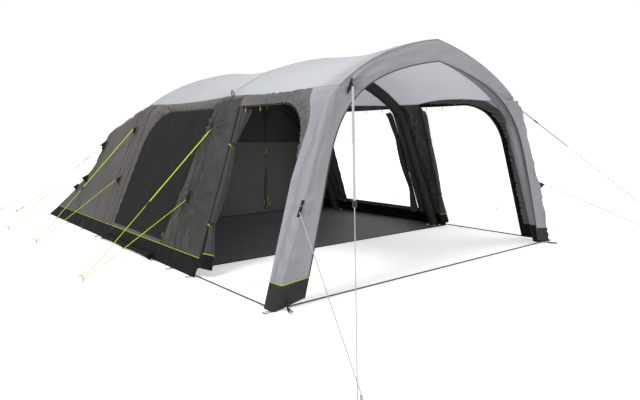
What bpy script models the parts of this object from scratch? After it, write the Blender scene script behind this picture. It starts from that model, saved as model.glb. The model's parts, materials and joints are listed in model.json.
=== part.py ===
"""Inflatable family tent: four air arches, an open front canopy, a living bay and a sleeping area.

Units are metres and +Z is up. The canopy faces -Y and the rear wall is at +Y. The origin lies on the ground
in the middle of the footprint. Cloth is drawn as closed panels of one thickness, cut along the real seams, with a
hair gap where two panels are sewn together. Places along the tent are setbacks from its front edge.
"""
import math

import bmesh
import bpy
import numpy as np
from mathutils import Vector
from mathutils.bvhtree import BVHTree

# Footprint and outline of the arches
LENGTH = 6.17
FOOT_HALF_WIDTH = 1.96
APEX_HEIGHT = 2.10
SHOULDER_HEIGHT = 1.49
EAVE_RISE = 0.13
EAVE_HEIGHT = SHOULDER_HEIGHT + EAVE_RISE
WALL_LEAN_SHARE = 0.40
SHOULDER_HANDLE_SHARE = 0.055
RIDGE_HANDLE_SHARE = 0.66
RIDGE_SLOPE_SHARE = 0.15
REAR_SHOULDER_DROP = 0.27
REAR_SHOULDER_HEIGHT = SHOULDER_HEIGHT - REAR_SHOULDER_DROP
REAR_APEX_DROP = 0.38
REAR_APEX_HEIGHT = APEX_HEIGHT - REAR_APEX_DROP

# Setbacks of the arches from the front edge, and how far each apex lies behind its feet
FRONT_TUBE_SETBACK = 0.09
FRONT_LEAN = 0.17
FRONT_LEAN_POWER = 1.5
MIDDLE_SETBACK = 1.62
MIDDLE_LEAN = 0.14
SLEEPING_SETBACK = 3.66
SLEEPING_LEAN = 0.11
REAR_SETBACK = 4.97
REAR_LEAN = -0.46

# Cloth and seams
CLOTH = 0.004
SEAM_GAP = 0.0006
TOUCH_GAP = 0.0004
CANOPY_SAG = 0.045
LIVING_SAG = 0.055
SLEEPING_SAG = 0.045
EAVE_SAG_SHARE = 0.25
FLAT_WALL_SHARE = 0.45
LEFT_EAVE_DIP = 0.015
RIGHT_EAVE_DIP = -0.04

# Air tubes and their sleeves
SLEEVE_RADIUS = 0.066
SLEEVE_WALL = 0.003
SLEEVE_CLEARANCE = 0.0008
BLADDER_CLEARANCE = 0.0006
BLADDER_FOOT = 0.012
TUBE_SIDES = 10
LEG_STEPS = 3
ROOF_STEPS = 8

# Valves near the left foot of each tube
VALVE_HEIGHT = 0.46
VALVE_RADIUS = 0.017
VALVE_REACH = 0.016
VALVE_HOLE_CLEARANCE = 0.004
CAP_RADIUS = 0.024
CAP_THICKNESS = 0.010
CAP_GRIP_WIDTH = 0.007
CAP_GRIP_HEIGHT = 0.008

# Front opening, gable and legs
LEG_WIDTH = 0.26
OPENING_HALF_WIDTH = FOOT_HALF_WIDTH - LEG_WIDTH
GABLE_DEPTH = 0.20
OPENING_APEX = APEX_HEIGHT - GABLE_DEPTH
OPENING_SHOULDER_DROP = 0.59
OPENING_SHOULDER = SHOULDER_HEIGHT - OPENING_SHOULDER_DROP
OPENING_LEAN_SHARE = 0.295
OPENING_SHOULDER_SHARE = 0.35
OPENING_RIDGE_SHARE = 0.80
GABLE_SEAM_DROP = 0.12
GABLE_SEAM_HEIGHT = EAVE_HEIGHT - GABLE_SEAM_DROP
CUFF_HEIGHT = 0.178
CUFF_INNER_HEIGHT = 0.20
CUFF_INNER_FOOT = 0.05
LEG_FOOT_DEPTH = 0.122
LEG_DEPTH = 0.265
LEG_DEPTH_HEIGHT = 0.90
LEG_FLARE_RUN = 0.32
LEG_FLARE_HEIGHT = EAVE_HEIGHT - LEG_FLARE_RUN
LEG_FLARE = 0.19

# Side bays: pillars over the middle arch, openings, doors and their frames
LEFT_PILLAR_FRONT_FOOT = 1.20
RIGHT_PILLAR_FRONT_FOOT = 1.47
PILLAR_FRONT_EAVE = 1.40
LEFT_PILLAR_REAR_FOOT = 2.08
RIGHT_PILLAR_REAR_FOOT = 1.88
LEFT_PILLAR_REAR_EAVE = 1.82
RIGHT_PILLAR_REAR_EAVE = 1.93
PILLAR_BULGE = 0.03
LEFT_OPENING_DROP = 0.13
LEFT_OPENING_TOP = EAVE_HEIGHT - LEFT_OPENING_DROP
RIGHT_OPENING_DROP = 0.035
RIGHT_OPENING_TOP = EAVE_HEIGHT - RIGHT_OPENING_DROP
BAND_END_WIDTH = 0.012
RIGHT_BAND_FOOT = 0.345
RIGHT_BAND_CORNER = 0.385
BAND_FOOT_HEIGHT = 0.012
CANOPY_CORNER_DROP = 0.45
CANOPY_CORNER_REACH = 0.39
DOOR_FOOT = 0.20
DOOR_REAR_FOOT = 3.42
DOOR_REAR_LEAN = 0.09
DOOR_CORNER_DROP = 0.44
DOOR_CORNER_REACH = 0.50
FRAME_REAR = 3.50

# Sleeping bay and rear wall
GUSSET_HEIGHT = 0.85
GUSSET_POWER = 1.4
REAR_CREST_BACK = 0.078
REAR_BELLY_POWER = 2.5
SKIRT_HEIGHT = 0.16
REAR_SKIRT_HEIGHT = 0.13

# Floor and bedroom
GROUNDSHEET_THICKNESS = 0.004
GROUNDSHEET_FRONT = 1.475
GROUNDSHEET_REAR_GAP = 0.05
FOOT_NOTCH = 0.16
FOOT_NOTCH_GAP = 0.012
BEDROOM_SETBACK = 4.04
BEDROOM_SIDE_GAP = 0.035
ZIP_HALF_SPREAD = 0.72
ZIP_TOP = EAVE_HEIGHT
MESH_ZIP_DROP = 0.16
MESH_ZIP_TOP = LEFT_OPENING_TOP - MESH_ZIP_DROP
ZIP_FOOT = 0.06
ZIP_WIDTH = 0.006
ZIP_HEIGHT = 0.004
INNER_INSET = 0.20
INNER_START_SHARE = 0.36
INNER_END_SHARE = 0.84
INNER_REAR_GAP = 0.22

# Zip sliders
SLIDER_WIDTH = 0.020
SLIDER_LENGTH = 0.036
SLIDER_THICKNESS = 0.010
SLIDER_LIP = 0.0008
PULL_LENGTH = 0.060
PULL_WIDTH = 0.010
PULL_THICKNESS = 0.003

# Rolled doors
ROLL_RADIUS = 0.044
ROLL_WAIST_SHARE = 0.68
ROLL_FLARE_SHARE = 1.5
ROLL_FLARE_REACH = 0.2
ROLL_LOBE_SHARE = 0.07
ROLL_LOBES = 4
ROLL_SIDES = 12
ROLL_TURN = 6.3
ROLL_FOOT = 0.09
ROLL_CLEARANCE = 0.0003
ROLL_STEP_SHARE = 0.55
ROLL_CONTACT_SHARE = 0.978
BASE_ROLL_RADIUS = 0.036
BASE_ROLL_FRONT = 2.10
BASE_ROLL_REAR = 3.52

# Guylines, runners, tabs, pegs and ground straps
LINE_DIAMETER = 0.006
STRAP_WIDTH = 0.022
STRAP_THICKNESS = 0.003
PEG_RADIUS = 0.005
PEG_HEIGHT = 0.055
PEG_HOOK = 0.035
PEG_TURN_RADIUS = 0.014
PEG_TURN_HEIGHT = 0.020
RUNNER_LENGTH = 0.055
RUNNER_WIDTH = 0.032
RUNNER_THICKNESS = 0.012
RUNNER_CLEARANCE = 0.0006
PEG_BITE = 0.0015
TAB_HALF_HEIGHT = 0.045
TAB_TIP = 0.004
TAB_RISE = 0.02
TAB_THICKNESS = 0.004
GROUND_STRAP_WIDTH = 0.014
GROUND_STRAP_THICKNESS = 0.003
GROUND_STRAP_HEIGHT = 0.020


def from_front(setback):
    """Model Y of a place given by its setback from the tent's front edge."""
    return setback - LENGTH / 2


def colour(red, green, blue, roughness=0.8, metallic=0.0):
    """Describe a finish: base colour, roughness and metallic value."""
    return (red, green, blue), roughness, metallic


ROOF_CLOTH = colour(0.62, 0.65, 0.69)
GABLE_CLOTH = colour(0.36, 0.36, 0.38)
WALL_CLOTH = colour(0.10, 0.093, 0.088)
BAND_CLOTH = colour(0.13, 0.12, 0.11)
SKIRT_CLOTH = colour(0.024, 0.024, 0.026, 0.6)
FLOOR_CLOTH = colour(0.05, 0.055, 0.056, 0.6)
MESH_CLOTH = colour(0.02, 0.02, 0.022)
INNER_CLOTH = colour(0.04, 0.035, 0.03)
SLEEVE_CLOTH = colour(0.02, 0.02, 0.02)
TUBE_FILM = colour(0.70, 0.72, 0.74, 0.3)
VALVE_PLASTIC = colour(0.02, 0.02, 0.02, 0.4)
LIME_LINE = colour(0.40, 0.60, 0.05, 0.6)
GREY_LINE = colour(0.55, 0.55, 0.55, 0.6)
DARK_LINE = colour(0.12, 0.12, 0.12, 0.6)
WEBBING = colour(0.015, 0.015, 0.015, 0.7)
PEG_STEEL = colour(0.35, 0.35, 0.37, 0.35, 1.0)


def clear_scene():
    """Remove every object of the open scene."""
    for old in list(bpy.data.objects):
        bpy.data.objects.remove(old, do_unlink=True)


def dress(obj, finish):
    """Give the object its own Principled material."""
    base, roughness, metallic = finish
    material = bpy.data.materials.new(obj.name)
    material.use_nodes = True
    shader = material.node_tree.nodes["Principled BSDF"]
    shader.inputs["Base Color"].default_value = (*base, 1.0)
    shader.inputs["Roughness"].default_value = roughness
    shader.inputs["Metallic"].default_value = metallic
    obj.data.materials.clear()
    obj.data.materials.append(material)


def add_object(name, verts, faces, finish, origin=(0.0, 0.0, 0.0), smooth=True):
    """Make an object from world points, turned so that its faces point out, with its origin where asked."""
    mesh = bpy.data.meshes.new(name)
    shift = np.asarray(origin, float)
    mesh.from_pydata([tuple(np.asarray(v, float) - shift) for v in verts], [], faces)
    bm = bmesh.new()
    bm.from_mesh(mesh)
    if bm.calc_volume(signed=True) < 0:
        bmesh.ops.reverse_faces(bm, faces=bm.faces)
    bm.to_mesh(mesh)
    bm.free()
    obj = bpy.data.objects.new(name, mesh)
    obj.location = Vector(origin)
    bpy.context.scene.collection.objects.link(obj)
    if smooth:
        mesh.shade_smooth()
        mesh.set_sharp_from_angle(angle=math.radians(40))
    dress(obj, finish)
    return obj


def sheet_body(outer, inner):
    """Close the space between two grids of the same size, as a body."""
    rows, columns = outer.shape[:2]
    verts = np.concatenate([outer.reshape(-1, 3), inner.reshape(-1, 3)])
    back = rows * columns

    def at(row, column, layer=0):
        return layer * back + row * columns + column

    faces = []
    for i in range(rows - 1):
        for j in range(columns - 1):
            faces.append([at(i, j), at(i + 1, j), at(i + 1, j + 1), at(i, j + 1)])
            faces.append([at(i, j, 1), at(i, j + 1, 1), at(i + 1, j + 1, 1), at(i + 1, j, 1)])
    for i in range(rows - 1):
        faces.append([at(i, 0), at(i, 0, 1), at(i + 1, 0, 1), at(i + 1, 0)])
        last = columns - 1
        faces.append([at(i, last), at(i + 1, last), at(i + 1, last, 1), at(i, last, 1)])
    for j in range(columns - 1):
        faces.append([at(0, j), at(0, j + 1), at(0, j + 1, 1), at(0, j, 1)])
        last = rows - 1
        faces.append([at(last, j), at(last, j, 1), at(last, j + 1, 1), at(last, j + 1)])
    return verts, faces


def ring_body(rings, holes=None):
    """Close a stack of rings as a rod, or as a pipe where a second stack of rings is its bore."""
    rings = np.asarray(rings)
    count, sides = rings.shape[:2]
    verts = list(rings.reshape(-1, 3))
    faces = []
    for i in range(count - 1):
        for j in range(sides):
            k = (j + 1) % sides
            faces.append([i * sides + j, i * sides + k, (i + 1) * sides + k, (i + 1) * sides + j])
    if holes is None:
        faces.append(list(range(sides))[::-1])
        faces.append([(count - 1) * sides + j for j in range(sides)])
        return verts, faces
    bore = np.asarray(holes)
    base = len(verts)
    verts += list(bore.reshape(-1, 3))
    for i in range(count - 1):
        for j in range(sides):
            k = (j + 1) % sides
            faces.append([base + i * sides + j, base + (i + 1) * sides + j,
                          base + (i + 1) * sides + k, base + i * sides + k])
    end = (count - 1) * sides
    for j in range(sides):
        k = (j + 1) % sides
        faces.append([j, base + j, base + k, k])
        faces.append([end + j, end + k, base + end + k, base + end + j])
    return verts, faces


def block_body(centre, along, across, up, size):
    """A box about a centre, with its three directions and its three sizes."""
    along, across, up = (np.asarray(v, float) / np.linalg.norm(v) for v in (along, across, up))
    corners = []
    for a in (-0.5, 0.5):
        for b in (-0.5, 0.5):
            for c in (-0.5, 0.5):
                reach = along * a * size[0] + across * b * size[1] + up * c * size[2]
                corners.append(np.asarray(centre) + reach)
    faces = [[0, 1, 3, 2], [4, 6, 7, 5], [0, 4, 5, 1], [2, 3, 7, 6], [0, 2, 6, 4], [1, 5, 7, 3]]
    return corners, faces


def carve(obj, cutter, operation="DIFFERENCE"):
    """Add an exact Boolean with a cutter that stays out of the model."""
    cutter.hide_render = True
    cutter.display_type = "WIRE"
    modifier = obj.modifiers.new(cutter.name, "BOOLEAN")
    modifier.operation = operation
    modifier.solver = "EXACT"
    modifier.object = cutter


def half_line(shares, foot, lean, shoulder, apex, shoulder_share, ridge_share):
    """Right half of an arch outline: a straight leaning leg, then one Bezier curve up to the ridge.

    A share of 0 is the foot, a half is the shoulder and 1 is the apex. Returns points (x, z) and the unit
    normals that point out of the arch.
    """
    shares = np.asarray(shares, float)
    base = np.array([foot, 0.0])
    bend = np.array([foot - lean * shoulder, shoulder])
    ridge = np.array([0.0, apex])
    up = np.array([-lean, 1.0]) / math.hypot(lean, 1.0)
    first = bend + up * shoulder_share * bend[0]
    second = ridge + np.array([1.0, -RIDGE_SLOPE_SHARE]) * ridge_share * bend[0]
    leg = np.clip(2 * shares, 0, 1)[..., None]
    t = np.clip(2 * shares - 1, 0, 1)[..., None]
    middle = 3 * (1 - t) ** 2 * t * first + 3 * (1 - t) * t ** 2 * second
    curve = (1 - t) ** 3 * bend + middle + t ** 3 * ridge
    slope = (1 - t) ** 2 * (first - bend) + 2 * (1 - t) * t * (second - first) + t ** 2 * (ridge - second)
    on_leg = (shares <= 0.5)[..., None]
    points = np.where(on_leg, base + (bend - base) * leg, curve)
    tangent = np.where(on_leg, up, slope)
    tangent = tangent / np.linalg.norm(tangent, axis=-1, keepdims=True)
    normals = np.stack([tangent[..., 1], -tangent[..., 0]], axis=-1)
    return points, np.where((shares >= 1)[..., None], np.array([0.0, 1.0]), normals)


class Arch:
    """The outer cloth line over one air arch."""

    def __init__(self, setback, lean, shoulder, apex, power=1.0):
        self.foot_y = from_front(setback)
        self.lean = lean
        self.shoulder = shoulder
        self.apex = apex
        self.power = power

    def outline(self, shares):
        """Half outline and its normals."""
        return half_line(shares, FOOT_HALF_WIDTH, WALL_LEAN_SHARE, self.shoulder, self.apex,
                         SHOULDER_HANDLE_SHARE, RIDGE_HANDLE_SHARE)

    def y_at(self, height):
        """Y of the arch line at a height."""
        return self.foot_y + self.lean * (np.maximum(height, 0.0) / self.apex) ** self.power

    def share_at(self, height):
        """Share of the half outline at which the line reaches a height."""
        table = np.linspace(0, 1, 401)
        return np.interp(height, self.outline(table)[0][:, 1], table)

    def points(self, across, inset=0.0):
        """World points on the line; across runs from -1 at the left foot over 0 at the apex to 1."""
        across = np.asarray(across, float)
        flat, normal = self.outline(1 - np.abs(across))
        flat = flat - normal * np.asarray(inset, float)[..., None]
        side = np.where(across < 0, -1.0, 1.0)
        return np.stack([side * flat[..., 0], self.y_at(flat[..., 1]), flat[..., 1]], axis=-1)


FRONT = Arch(0.0, FRONT_LEAN, SHOULDER_HEIGHT, APEX_HEIGHT, FRONT_LEAN_POWER)
MIDDLE = Arch(MIDDLE_SETBACK, MIDDLE_LEAN, SHOULDER_HEIGHT, APEX_HEIGHT)
SLEEPING = Arch(SLEEPING_SETBACK, SLEEPING_LEAN, SHOULDER_HEIGHT, APEX_HEIGHT)
REAR = Arch(REAR_SETBACK + REAR_CREST_BACK, REAR_LEAN, REAR_SHOULDER_HEIGHT, REAR_APEX_HEIGHT)
EAVE_SHARE = float(MIDDLE.share_at(EAVE_HEIGHT))


class Bay:
    """The cloth surface between two arches, which sags between them like a saddle."""

    def __init__(self, first, second, sag):
        self.first = first
        self.second = second
        self.sag = sag

    def points(self, along, across, inset=0.0):
        """World points; along runs from 0 at the first arch to 1 at the second."""
        along, across = np.broadcast_arrays(np.asarray(along, float), np.asarray(across, float))
        share = 1 - np.abs(across)
        one, normal_one = self.first.outline(share)
        two, normal_two = self.second.outline(share)
        t = along[..., None]
        normal = (1 - t) * normal_one + t * normal_two
        normal = normal / np.linalg.norm(normal, axis=-1, keepdims=True)
        above = np.clip((share - FLAT_WALL_SHARE) / (EAVE_SHARE - FLAT_WALL_SHARE), 0, 1)
        to_eave = above ** 2 * EAVE_SAG_SHARE
        to_ridge = np.clip((share - EAVE_SHARE) / (1 - EAVE_SHARE), 0, 1)
        weight = (to_eave + (1 - EAVE_SAG_SHARE) * np.sin(to_ridge * math.pi / 2))[..., None]
        drop = self.sag * 4 * t * (1 - t) * weight + np.broadcast_to(inset, along.shape)[..., None]
        flat = (1 - t) * one + t * two - normal * drop
        y = (1 - along) * self.first.y_at(one[..., 1]) + along * self.second.y_at(two[..., 1])
        side = np.where(across < 0, -1.0, 1.0)
        return np.stack([side * flat[..., 0], y, flat[..., 1]], axis=-1)

    def place(self, side, y, height):
        """Along and across values of a point on one side wall, from its Y and its height."""
        share = self.first.share_at(height)
        start = self.first.y_at(height)
        along = (np.asarray(y, float) - start) / (self.second.y_at(height) - start)
        return along, side * (1 - share)

    def y_of(self, along, height):
        """Y of a place on a side wall, from its along value and its height."""
        start = self.first.y_at(height)
        return start + along * (self.second.y_at(height) - start)


CANOPY = Bay(FRONT, MIDDLE, CANOPY_SAG)
LIVING = Bay(MIDDLE, SLEEPING, LIVING_SAG)
BEDROOM = Bay(SLEEPING, REAR, SLEEPING_SAG)


def panel_body(bay, along, across):
    """A cloth panel of a bay: its outer face on the bay's surface and its inner face one cloth below."""
    return sheet_body(bay.points(along, across), bay.points(along, across, CLOTH))


def wall_panel_body(bay, side, y, height, bulge=0.0):
    """A side wall panel from grids of Y and height, pushed out by a bulge."""
    along, across = bay.place(side, y, height)
    return sheet_body(bay.points(along, across, -np.asarray(bulge)),
                      bay.points(along, across, CLOTH - np.asarray(bulge)))


def roof_shares(left, right):
    """Across values from a start share on the left, over the apex, to a start share on the right."""
    rise = np.linspace(0, 1, ROOF_STEPS + 1)
    return np.concatenate([(1 - left) * (rise - 1), ((1 - right) * (1 - rise))[::-1][1:]])


def shoulder_heights():
    """Heights of the rows between the shoulder and the eave, which both walls and tubes follow."""
    return FRONT.outline(np.linspace(0.5, EAVE_SHARE, 3))[0][:, 1]


def leg_rear_y(height):
    """Y of the rear edge of a front leg's side face, which flares into the roof at the eave."""
    rise = np.clip(height / LEG_DEPTH_HEIGHT, 0, 1)
    flare = np.clip((height - LEG_FLARE_HEIGHT) / (EAVE_HEIGHT - LEG_FLARE_HEIGHT), 0, 1)
    return from_front(LEG_FOOT_DEPTH + (LEG_DEPTH - LEG_FOOT_DEPTH) * rise + LEG_FLARE * flare ** 2)


def pillar_front_y(height, side):
    """Y of a pillar's front edge; the left pillar is pulled out further at its foot."""
    foot = LEFT_PILLAR_FRONT_FOOT if side < 0 else RIGHT_PILLAR_FRONT_FOOT
    return from_front(foot + (PILLAR_FRONT_EAVE - foot) * height / EAVE_HEIGHT)


def pillar_rear_y(height, side):
    """Y of a pillar's rear edge."""
    foot, eave = ((LEFT_PILLAR_REAR_FOOT, LEFT_PILLAR_REAR_EAVE) if side < 0
                  else (RIGHT_PILLAR_REAR_FOOT, RIGHT_PILLAR_REAR_EAVE))
    return from_front(foot + (eave - foot) * height / EAVE_HEIGHT)


def eave_seam(bay, side):
    """The part of a bay's eave seam over its side opening: along values and heights of its points."""
    first, last = ((leg_rear_y(EAVE_HEIGHT), pillar_front_y(EAVE_HEIGHT, side)) if bay is CANOPY
                   else (pillar_rear_y(EAVE_HEIGHT, side), from_front(FRAME_REAR)))
    first, last = (float(bay.place(side, y, EAVE_HEIGHT)[0]) for y in (first, last))
    turn = np.linspace(0, 1, 5)
    dip = LEFT_EAVE_DIP if side < 0 else RIGHT_EAVE_DIP
    return first + (last - first) * turn, EAVE_HEIGHT - dip * 4 * turn * (1 - turn)


def make_roofs():
    """The three light roof panels, sewn to each other over the arches and to the walls at the eaves."""
    for name, bay in (("canopy_roof", CANOPY), ("living_roof", LIVING), ("sleeping_roof", BEDROOM)):
        gap = SEAM_GAP / 2 / abs(bay.second.foot_y - bay.first.foot_y)
        edges = []
        for side in (-1, 1):
            if bay is BEDROOM:
                along = np.linspace(gap, 1, 6)
                start = np.full(6, EAVE_SHARE)
            else:
                middle, height = eave_seam(bay, side)
                front = 0.0 if bay is CANOPY else gap
                along = np.concatenate([[front, middle[0] / 2], middle, [(middle[-1] + 1) / 2, 1 - gap]])
                start = np.full(len(along), EAVE_SHARE)
                start[2:-2] = bay.first.share_at(height)
            edges.append((along, start))
        (left, left_start), (right, right_start) = edges
        across = np.array([roof_shares(*starts) for starts in zip(left_start, right_start)])
        mix = np.linspace(0, 1, across.shape[1])
        along = left[:, None] * (1 - mix) + right[:, None] * mix
        add_object(name, *panel_body(bay, along, across), ROOF_CLOTH)


def opening_points(shares):
    """Right half of the front opening's edge, as points (x, z)."""
    return half_line(shares, OPENING_HALF_WIDTH, OPENING_LEAN_SHARE, OPENING_SHOULDER, OPENING_APEX,
                     OPENING_SHOULDER_SHARE, OPENING_RIDGE_SHARE)[0]


def opening_share_at(height):
    """Share of the opening's edge at which it reaches a height."""
    table = np.linspace(0, 1, 401)
    return np.interp(height, opening_points(table)[:, 1], table)


def make_gable():
    """The front panel between the crest of the canopy and the piped edge of the opening."""
    crest = np.linspace(EAVE_SHARE, 1, ROOF_STEPS + 1)
    edge = np.linspace(opening_share_at(GABLE_SEAM_HEIGHT), 1, ROOF_STEPS + 1)
    outer, normal = FRONT.outline(crest)
    outer = outer - normal * (CLOTH + SEAM_GAP)
    inner = opening_points(edge)
    mix = np.linspace(0, 1, 3)[:, None, None]
    half = outer[None] * (1 - mix) + inner[None] * mix
    left = half * np.array([-1.0, 1.0])
    flat = np.concatenate([left, half[:, ::-1][:, 1:]], axis=1)
    front = np.stack([flat[..., 0], FRONT.y_at(flat[..., 1]), flat[..., 1]], axis=-1)
    back = front + np.array([0.0, CLOTH, 0.0])
    add_object("front_gable", *sheet_body(front, back), GABLE_CLOTH)


def folded_leg_body(side, heights, edge_heights):
    """A cloth strip folded round the front corner of a leg: a front face and a side face."""
    share = FRONT.share_at(heights)
    corner, normal = FRONT.outline(share)
    edge = opening_points(opening_share_at(edge_heights))
    turn = np.array([side, 1.0, 1.0])

    def front_point(flat, back):
        return np.stack([flat[:, 0], FRONT.y_at(flat[:, 1]) + back, flat[:, 1]], axis=-1) * turn

    rear = leg_rear_y(heights)
    start = FRONT.y_at(heights)
    columns = []
    for inset, back in ((0.0, 0.0), (CLOTH, CLOTH)):
        faces = [front_point(edge, back), front_point((corner + edge) / 2, back),
                 front_point(corner - normal * inset, back)]
        for mix in (0.5, 1.0):
            along, across = CANOPY.place(side, start + (rear - start) * mix, heights)
            faces.append(CANOPY.points(along, across, inset))
        columns.append(np.stack(faces, axis=1))
    return sheet_body(*columns)


def leg_heights():
    """Heights of a leg's rows above its cuff; the side bands use the upper ones too."""
    low = CUFF_HEIGHT + SEAM_GAP
    flare = (LEG_FLARE_HEIGHT + SHOULDER_HEIGHT) / 2
    rows = shoulder_heights()
    return np.array([low, (low + LEG_DEPTH_HEIGHT) / 2, LEG_DEPTH_HEIGHT, LEG_FLARE_HEIGHT, flare, *rows[:-1],
                     rows[-1] - SEAM_GAP])


def make_legs():
    """The two front legs and the dark cuffs at their feet."""
    for side, word in ((-1, "left"), (1, "right")):
        rows = leg_heights()
        rise = (rows - rows[0]) / (rows[-1] - rows[0])
        heights = CUFF_INNER_HEIGHT + (GABLE_SEAM_HEIGHT - SEAM_GAP - CUFF_INNER_HEIGHT) * rise
        add_object(f"leg_{word}", *folded_leg_body(side, rows, heights), GABLE_CLOTH)
        rows = np.linspace(0.0, CUFF_HEIGHT, 3)
        heights = np.linspace(CUFF_INNER_FOOT, CUFF_INNER_HEIGHT - SEAM_GAP, 3)
        add_object(f"leg_cuff_{word}", *folded_leg_body(side, rows, heights), SKIRT_CLOTH)


def make_pillars():
    """The dark wall strips that cover the middle arch on both sides."""
    rows = shoulder_heights()
    low = SKIRT_HEIGHT + SEAM_GAP
    heights = np.concatenate([np.linspace(low, SHOULDER_HEIGHT, 7), [rows[1], rows[2] - SEAM_GAP]])
    z = np.repeat(heights[:, None], 3, axis=1)
    rise = (z - low) / (z[-1] - low)
    swell = PILLAR_BULGE * np.sqrt(np.clip(4 * rise * (1 - rise), 0, 1))
    share = np.linspace(0, 1, 3)
    lean = MIDDLE.y_at(z)
    for side, word in ((-1, "left"), (1, "right")):
        front = pillar_front_y(z, side) * (1 - share) + lean * share
        rear = lean * (1 - share) + pillar_rear_y(z, side) * share
        grids = []
        for inset in (0.0, CLOTH):
            first_inset = inset - swell * np.sin(share * math.pi / 2) ** 2
            second_inset = inset - swell * np.cos(share * math.pi / 2) ** 2
            first = CANOPY.points(*CANOPY.place(side, front, z), first_inset)
            second = LIVING.points(*LIVING.place(side, rear, z), second_inset)
            grids.append(np.concatenate([first, second[:, 1:]], axis=1))
        add_object(f"pillar_{word}", *sheet_body(*grids), WALL_CLOTH)


def right_band_y(height):
    """Y of the rear edge of the right band where it runs down beside the leg."""
    corner = RIGHT_OPENING_TOP - CANOPY_CORNER_DROP
    return from_front(RIGHT_BAND_FOOT + (RIGHT_BAND_CORNER - RIGHT_BAND_FOOT) * height / corner)


def make_canopy_bands():
    """The gathered bands that frame the canopy's side openings; the right one runs down to the floor."""
    for side, word, top in ((-1, "left", LEFT_OPENING_TOP), (1, "right", RIGHT_OPENING_TOP)):
        along, seam = eave_seam(CANOPY, side)
        end = top - CANOPY_CORNER_DROP
        corner_y = float(leg_rear_y(end)) + BAND_END_WIDTH if side < 0 else from_front(RIGHT_BAND_CORNER)
        turn = np.linspace(0, math.pi / 2, 6)
        inner_y = corner_y + CANOPY_CORNER_REACH * (1 - np.sin(turn))
        inner_z = top - CANOPY_CORNER_DROP * (1 - np.cos(turn))
        start = float(pillar_front_y(top, side)) - SEAM_GAP
        inner_y = np.concatenate([np.linspace(start, inner_y[0], 5)[:-1], inner_y])
        inner_z = np.concatenate([np.full(4, top), inner_z])
        seam_z = seam[::-1] - SEAM_GAP
        seam_y = CANOPY.y_of(along[::-1], seam_z)
        seam_y[0] -= SEAM_GAP
        seam_y[-1] += SEAM_GAP
        down = np.concatenate([leg_heights()[-2:2:-1], [end]])
        if side > 0:
            lower = np.concatenate([leg_heights()[2::-1], [BAND_FOOT_HEIGHT]])
            down = np.concatenate([down, lower])
            inner_y = np.concatenate([inner_y, right_band_y(lower)])
            inner_z = np.concatenate([inner_z, lower])
        outer_y = np.concatenate([seam_y, leg_rear_y(down) + SEAM_GAP])
        outer_z = np.concatenate([seam_z, down])
        mix = np.linspace(0, 1, 3)[:, None]
        y = outer_y * (1 - mix) + inner_y * mix
        z = outer_z * (1 - mix) + inner_z * mix
        add_object(f"canopy_band_{word}", *wall_panel_body(CANOPY, side, y, z), BAND_CLOTH)


def door_rear_y(height, top):
    """Y of the rear edge of a living door, with a rounded top corner."""
    straight = DOOR_REAR_FOOT - DOOR_REAR_LEAN * height / SHOULDER_HEIGHT
    rise = np.clip((height - (top - DOOR_CORNER_DROP)) / DOOR_CORNER_DROP, 0, 1)
    return from_front(straight - DOOR_CORNER_REACH * (1 - np.sqrt(1 - rise ** 2)))


def door_rows(top):
    """Heights of a living door's rows, closer together in its rounded corner."""
    turn = np.linspace(0, math.pi / 2, 5)
    start = top - DOOR_CORNER_DROP
    return np.concatenate([np.linspace(DOOR_FOOT, start, 5)[:-1], start + DOOR_CORNER_DROP * np.sin(turn)])


WALL_NORMAL = np.array([1.0, 0.0, WALL_LEAN_SHARE]) / math.hypot(1.0, WALL_LEAN_SHARE)
LEFT_NORMAL = WALL_NORMAL * np.array([-1.0, 1.0, 1.0])


def wall_x(height):
    """Distance of the outer face of the side walls from the centre line."""
    return FOOT_HALF_WIDTH - WALL_LEAN_SHARE * height


def mesh_zip_point(height):
    """A point of the mesh door's zip, on the door's outer face."""
    return np.array([-wall_x(height), float(pillar_rear_y(height, -1)) + SLIDER_WIDTH, height])


def make_mesh_door():
    """The closed mesh door of the left living bay, with its zip along the pillar."""
    rows = door_rows(LEFT_OPENING_TOP)
    z = np.repeat(rows[:, None], 5, axis=1)
    z[0] += SEAM_GAP
    z[-1] -= SEAM_GAP
    share = np.linspace(0, 1, 5)
    front = pillar_rear_y(z, -1) + SEAM_GAP
    rear = door_rear_y(rows, LEFT_OPENING_TOP)[:, None] - SEAM_GAP
    y = front * (1 - share) + rear * share
    door = add_object("mesh_door_left", *wall_panel_body(LIVING, -1, y, z), MESH_CLOTH)
    low, high = mesh_zip_point(DOOR_FOOT + SLIDER_LENGTH), mesh_zip_point(MESH_ZIP_TOP)
    run = high - low
    centre = (low + high) / 2 + LEFT_NORMAL * (ZIP_HEIGHT - CLOTH / 2) / 2
    size = (np.linalg.norm(run), ZIP_WIDTH, ZIP_HEIGHT + CLOTH / 2)
    rib = add_object("mesh_zip_rib", *block_body(centre, run, np.cross(run, LEFT_NORMAL), LEFT_NORMAL, size),
                     MESH_CLOTH)
    carve(door, rib, "UNION")


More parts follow.
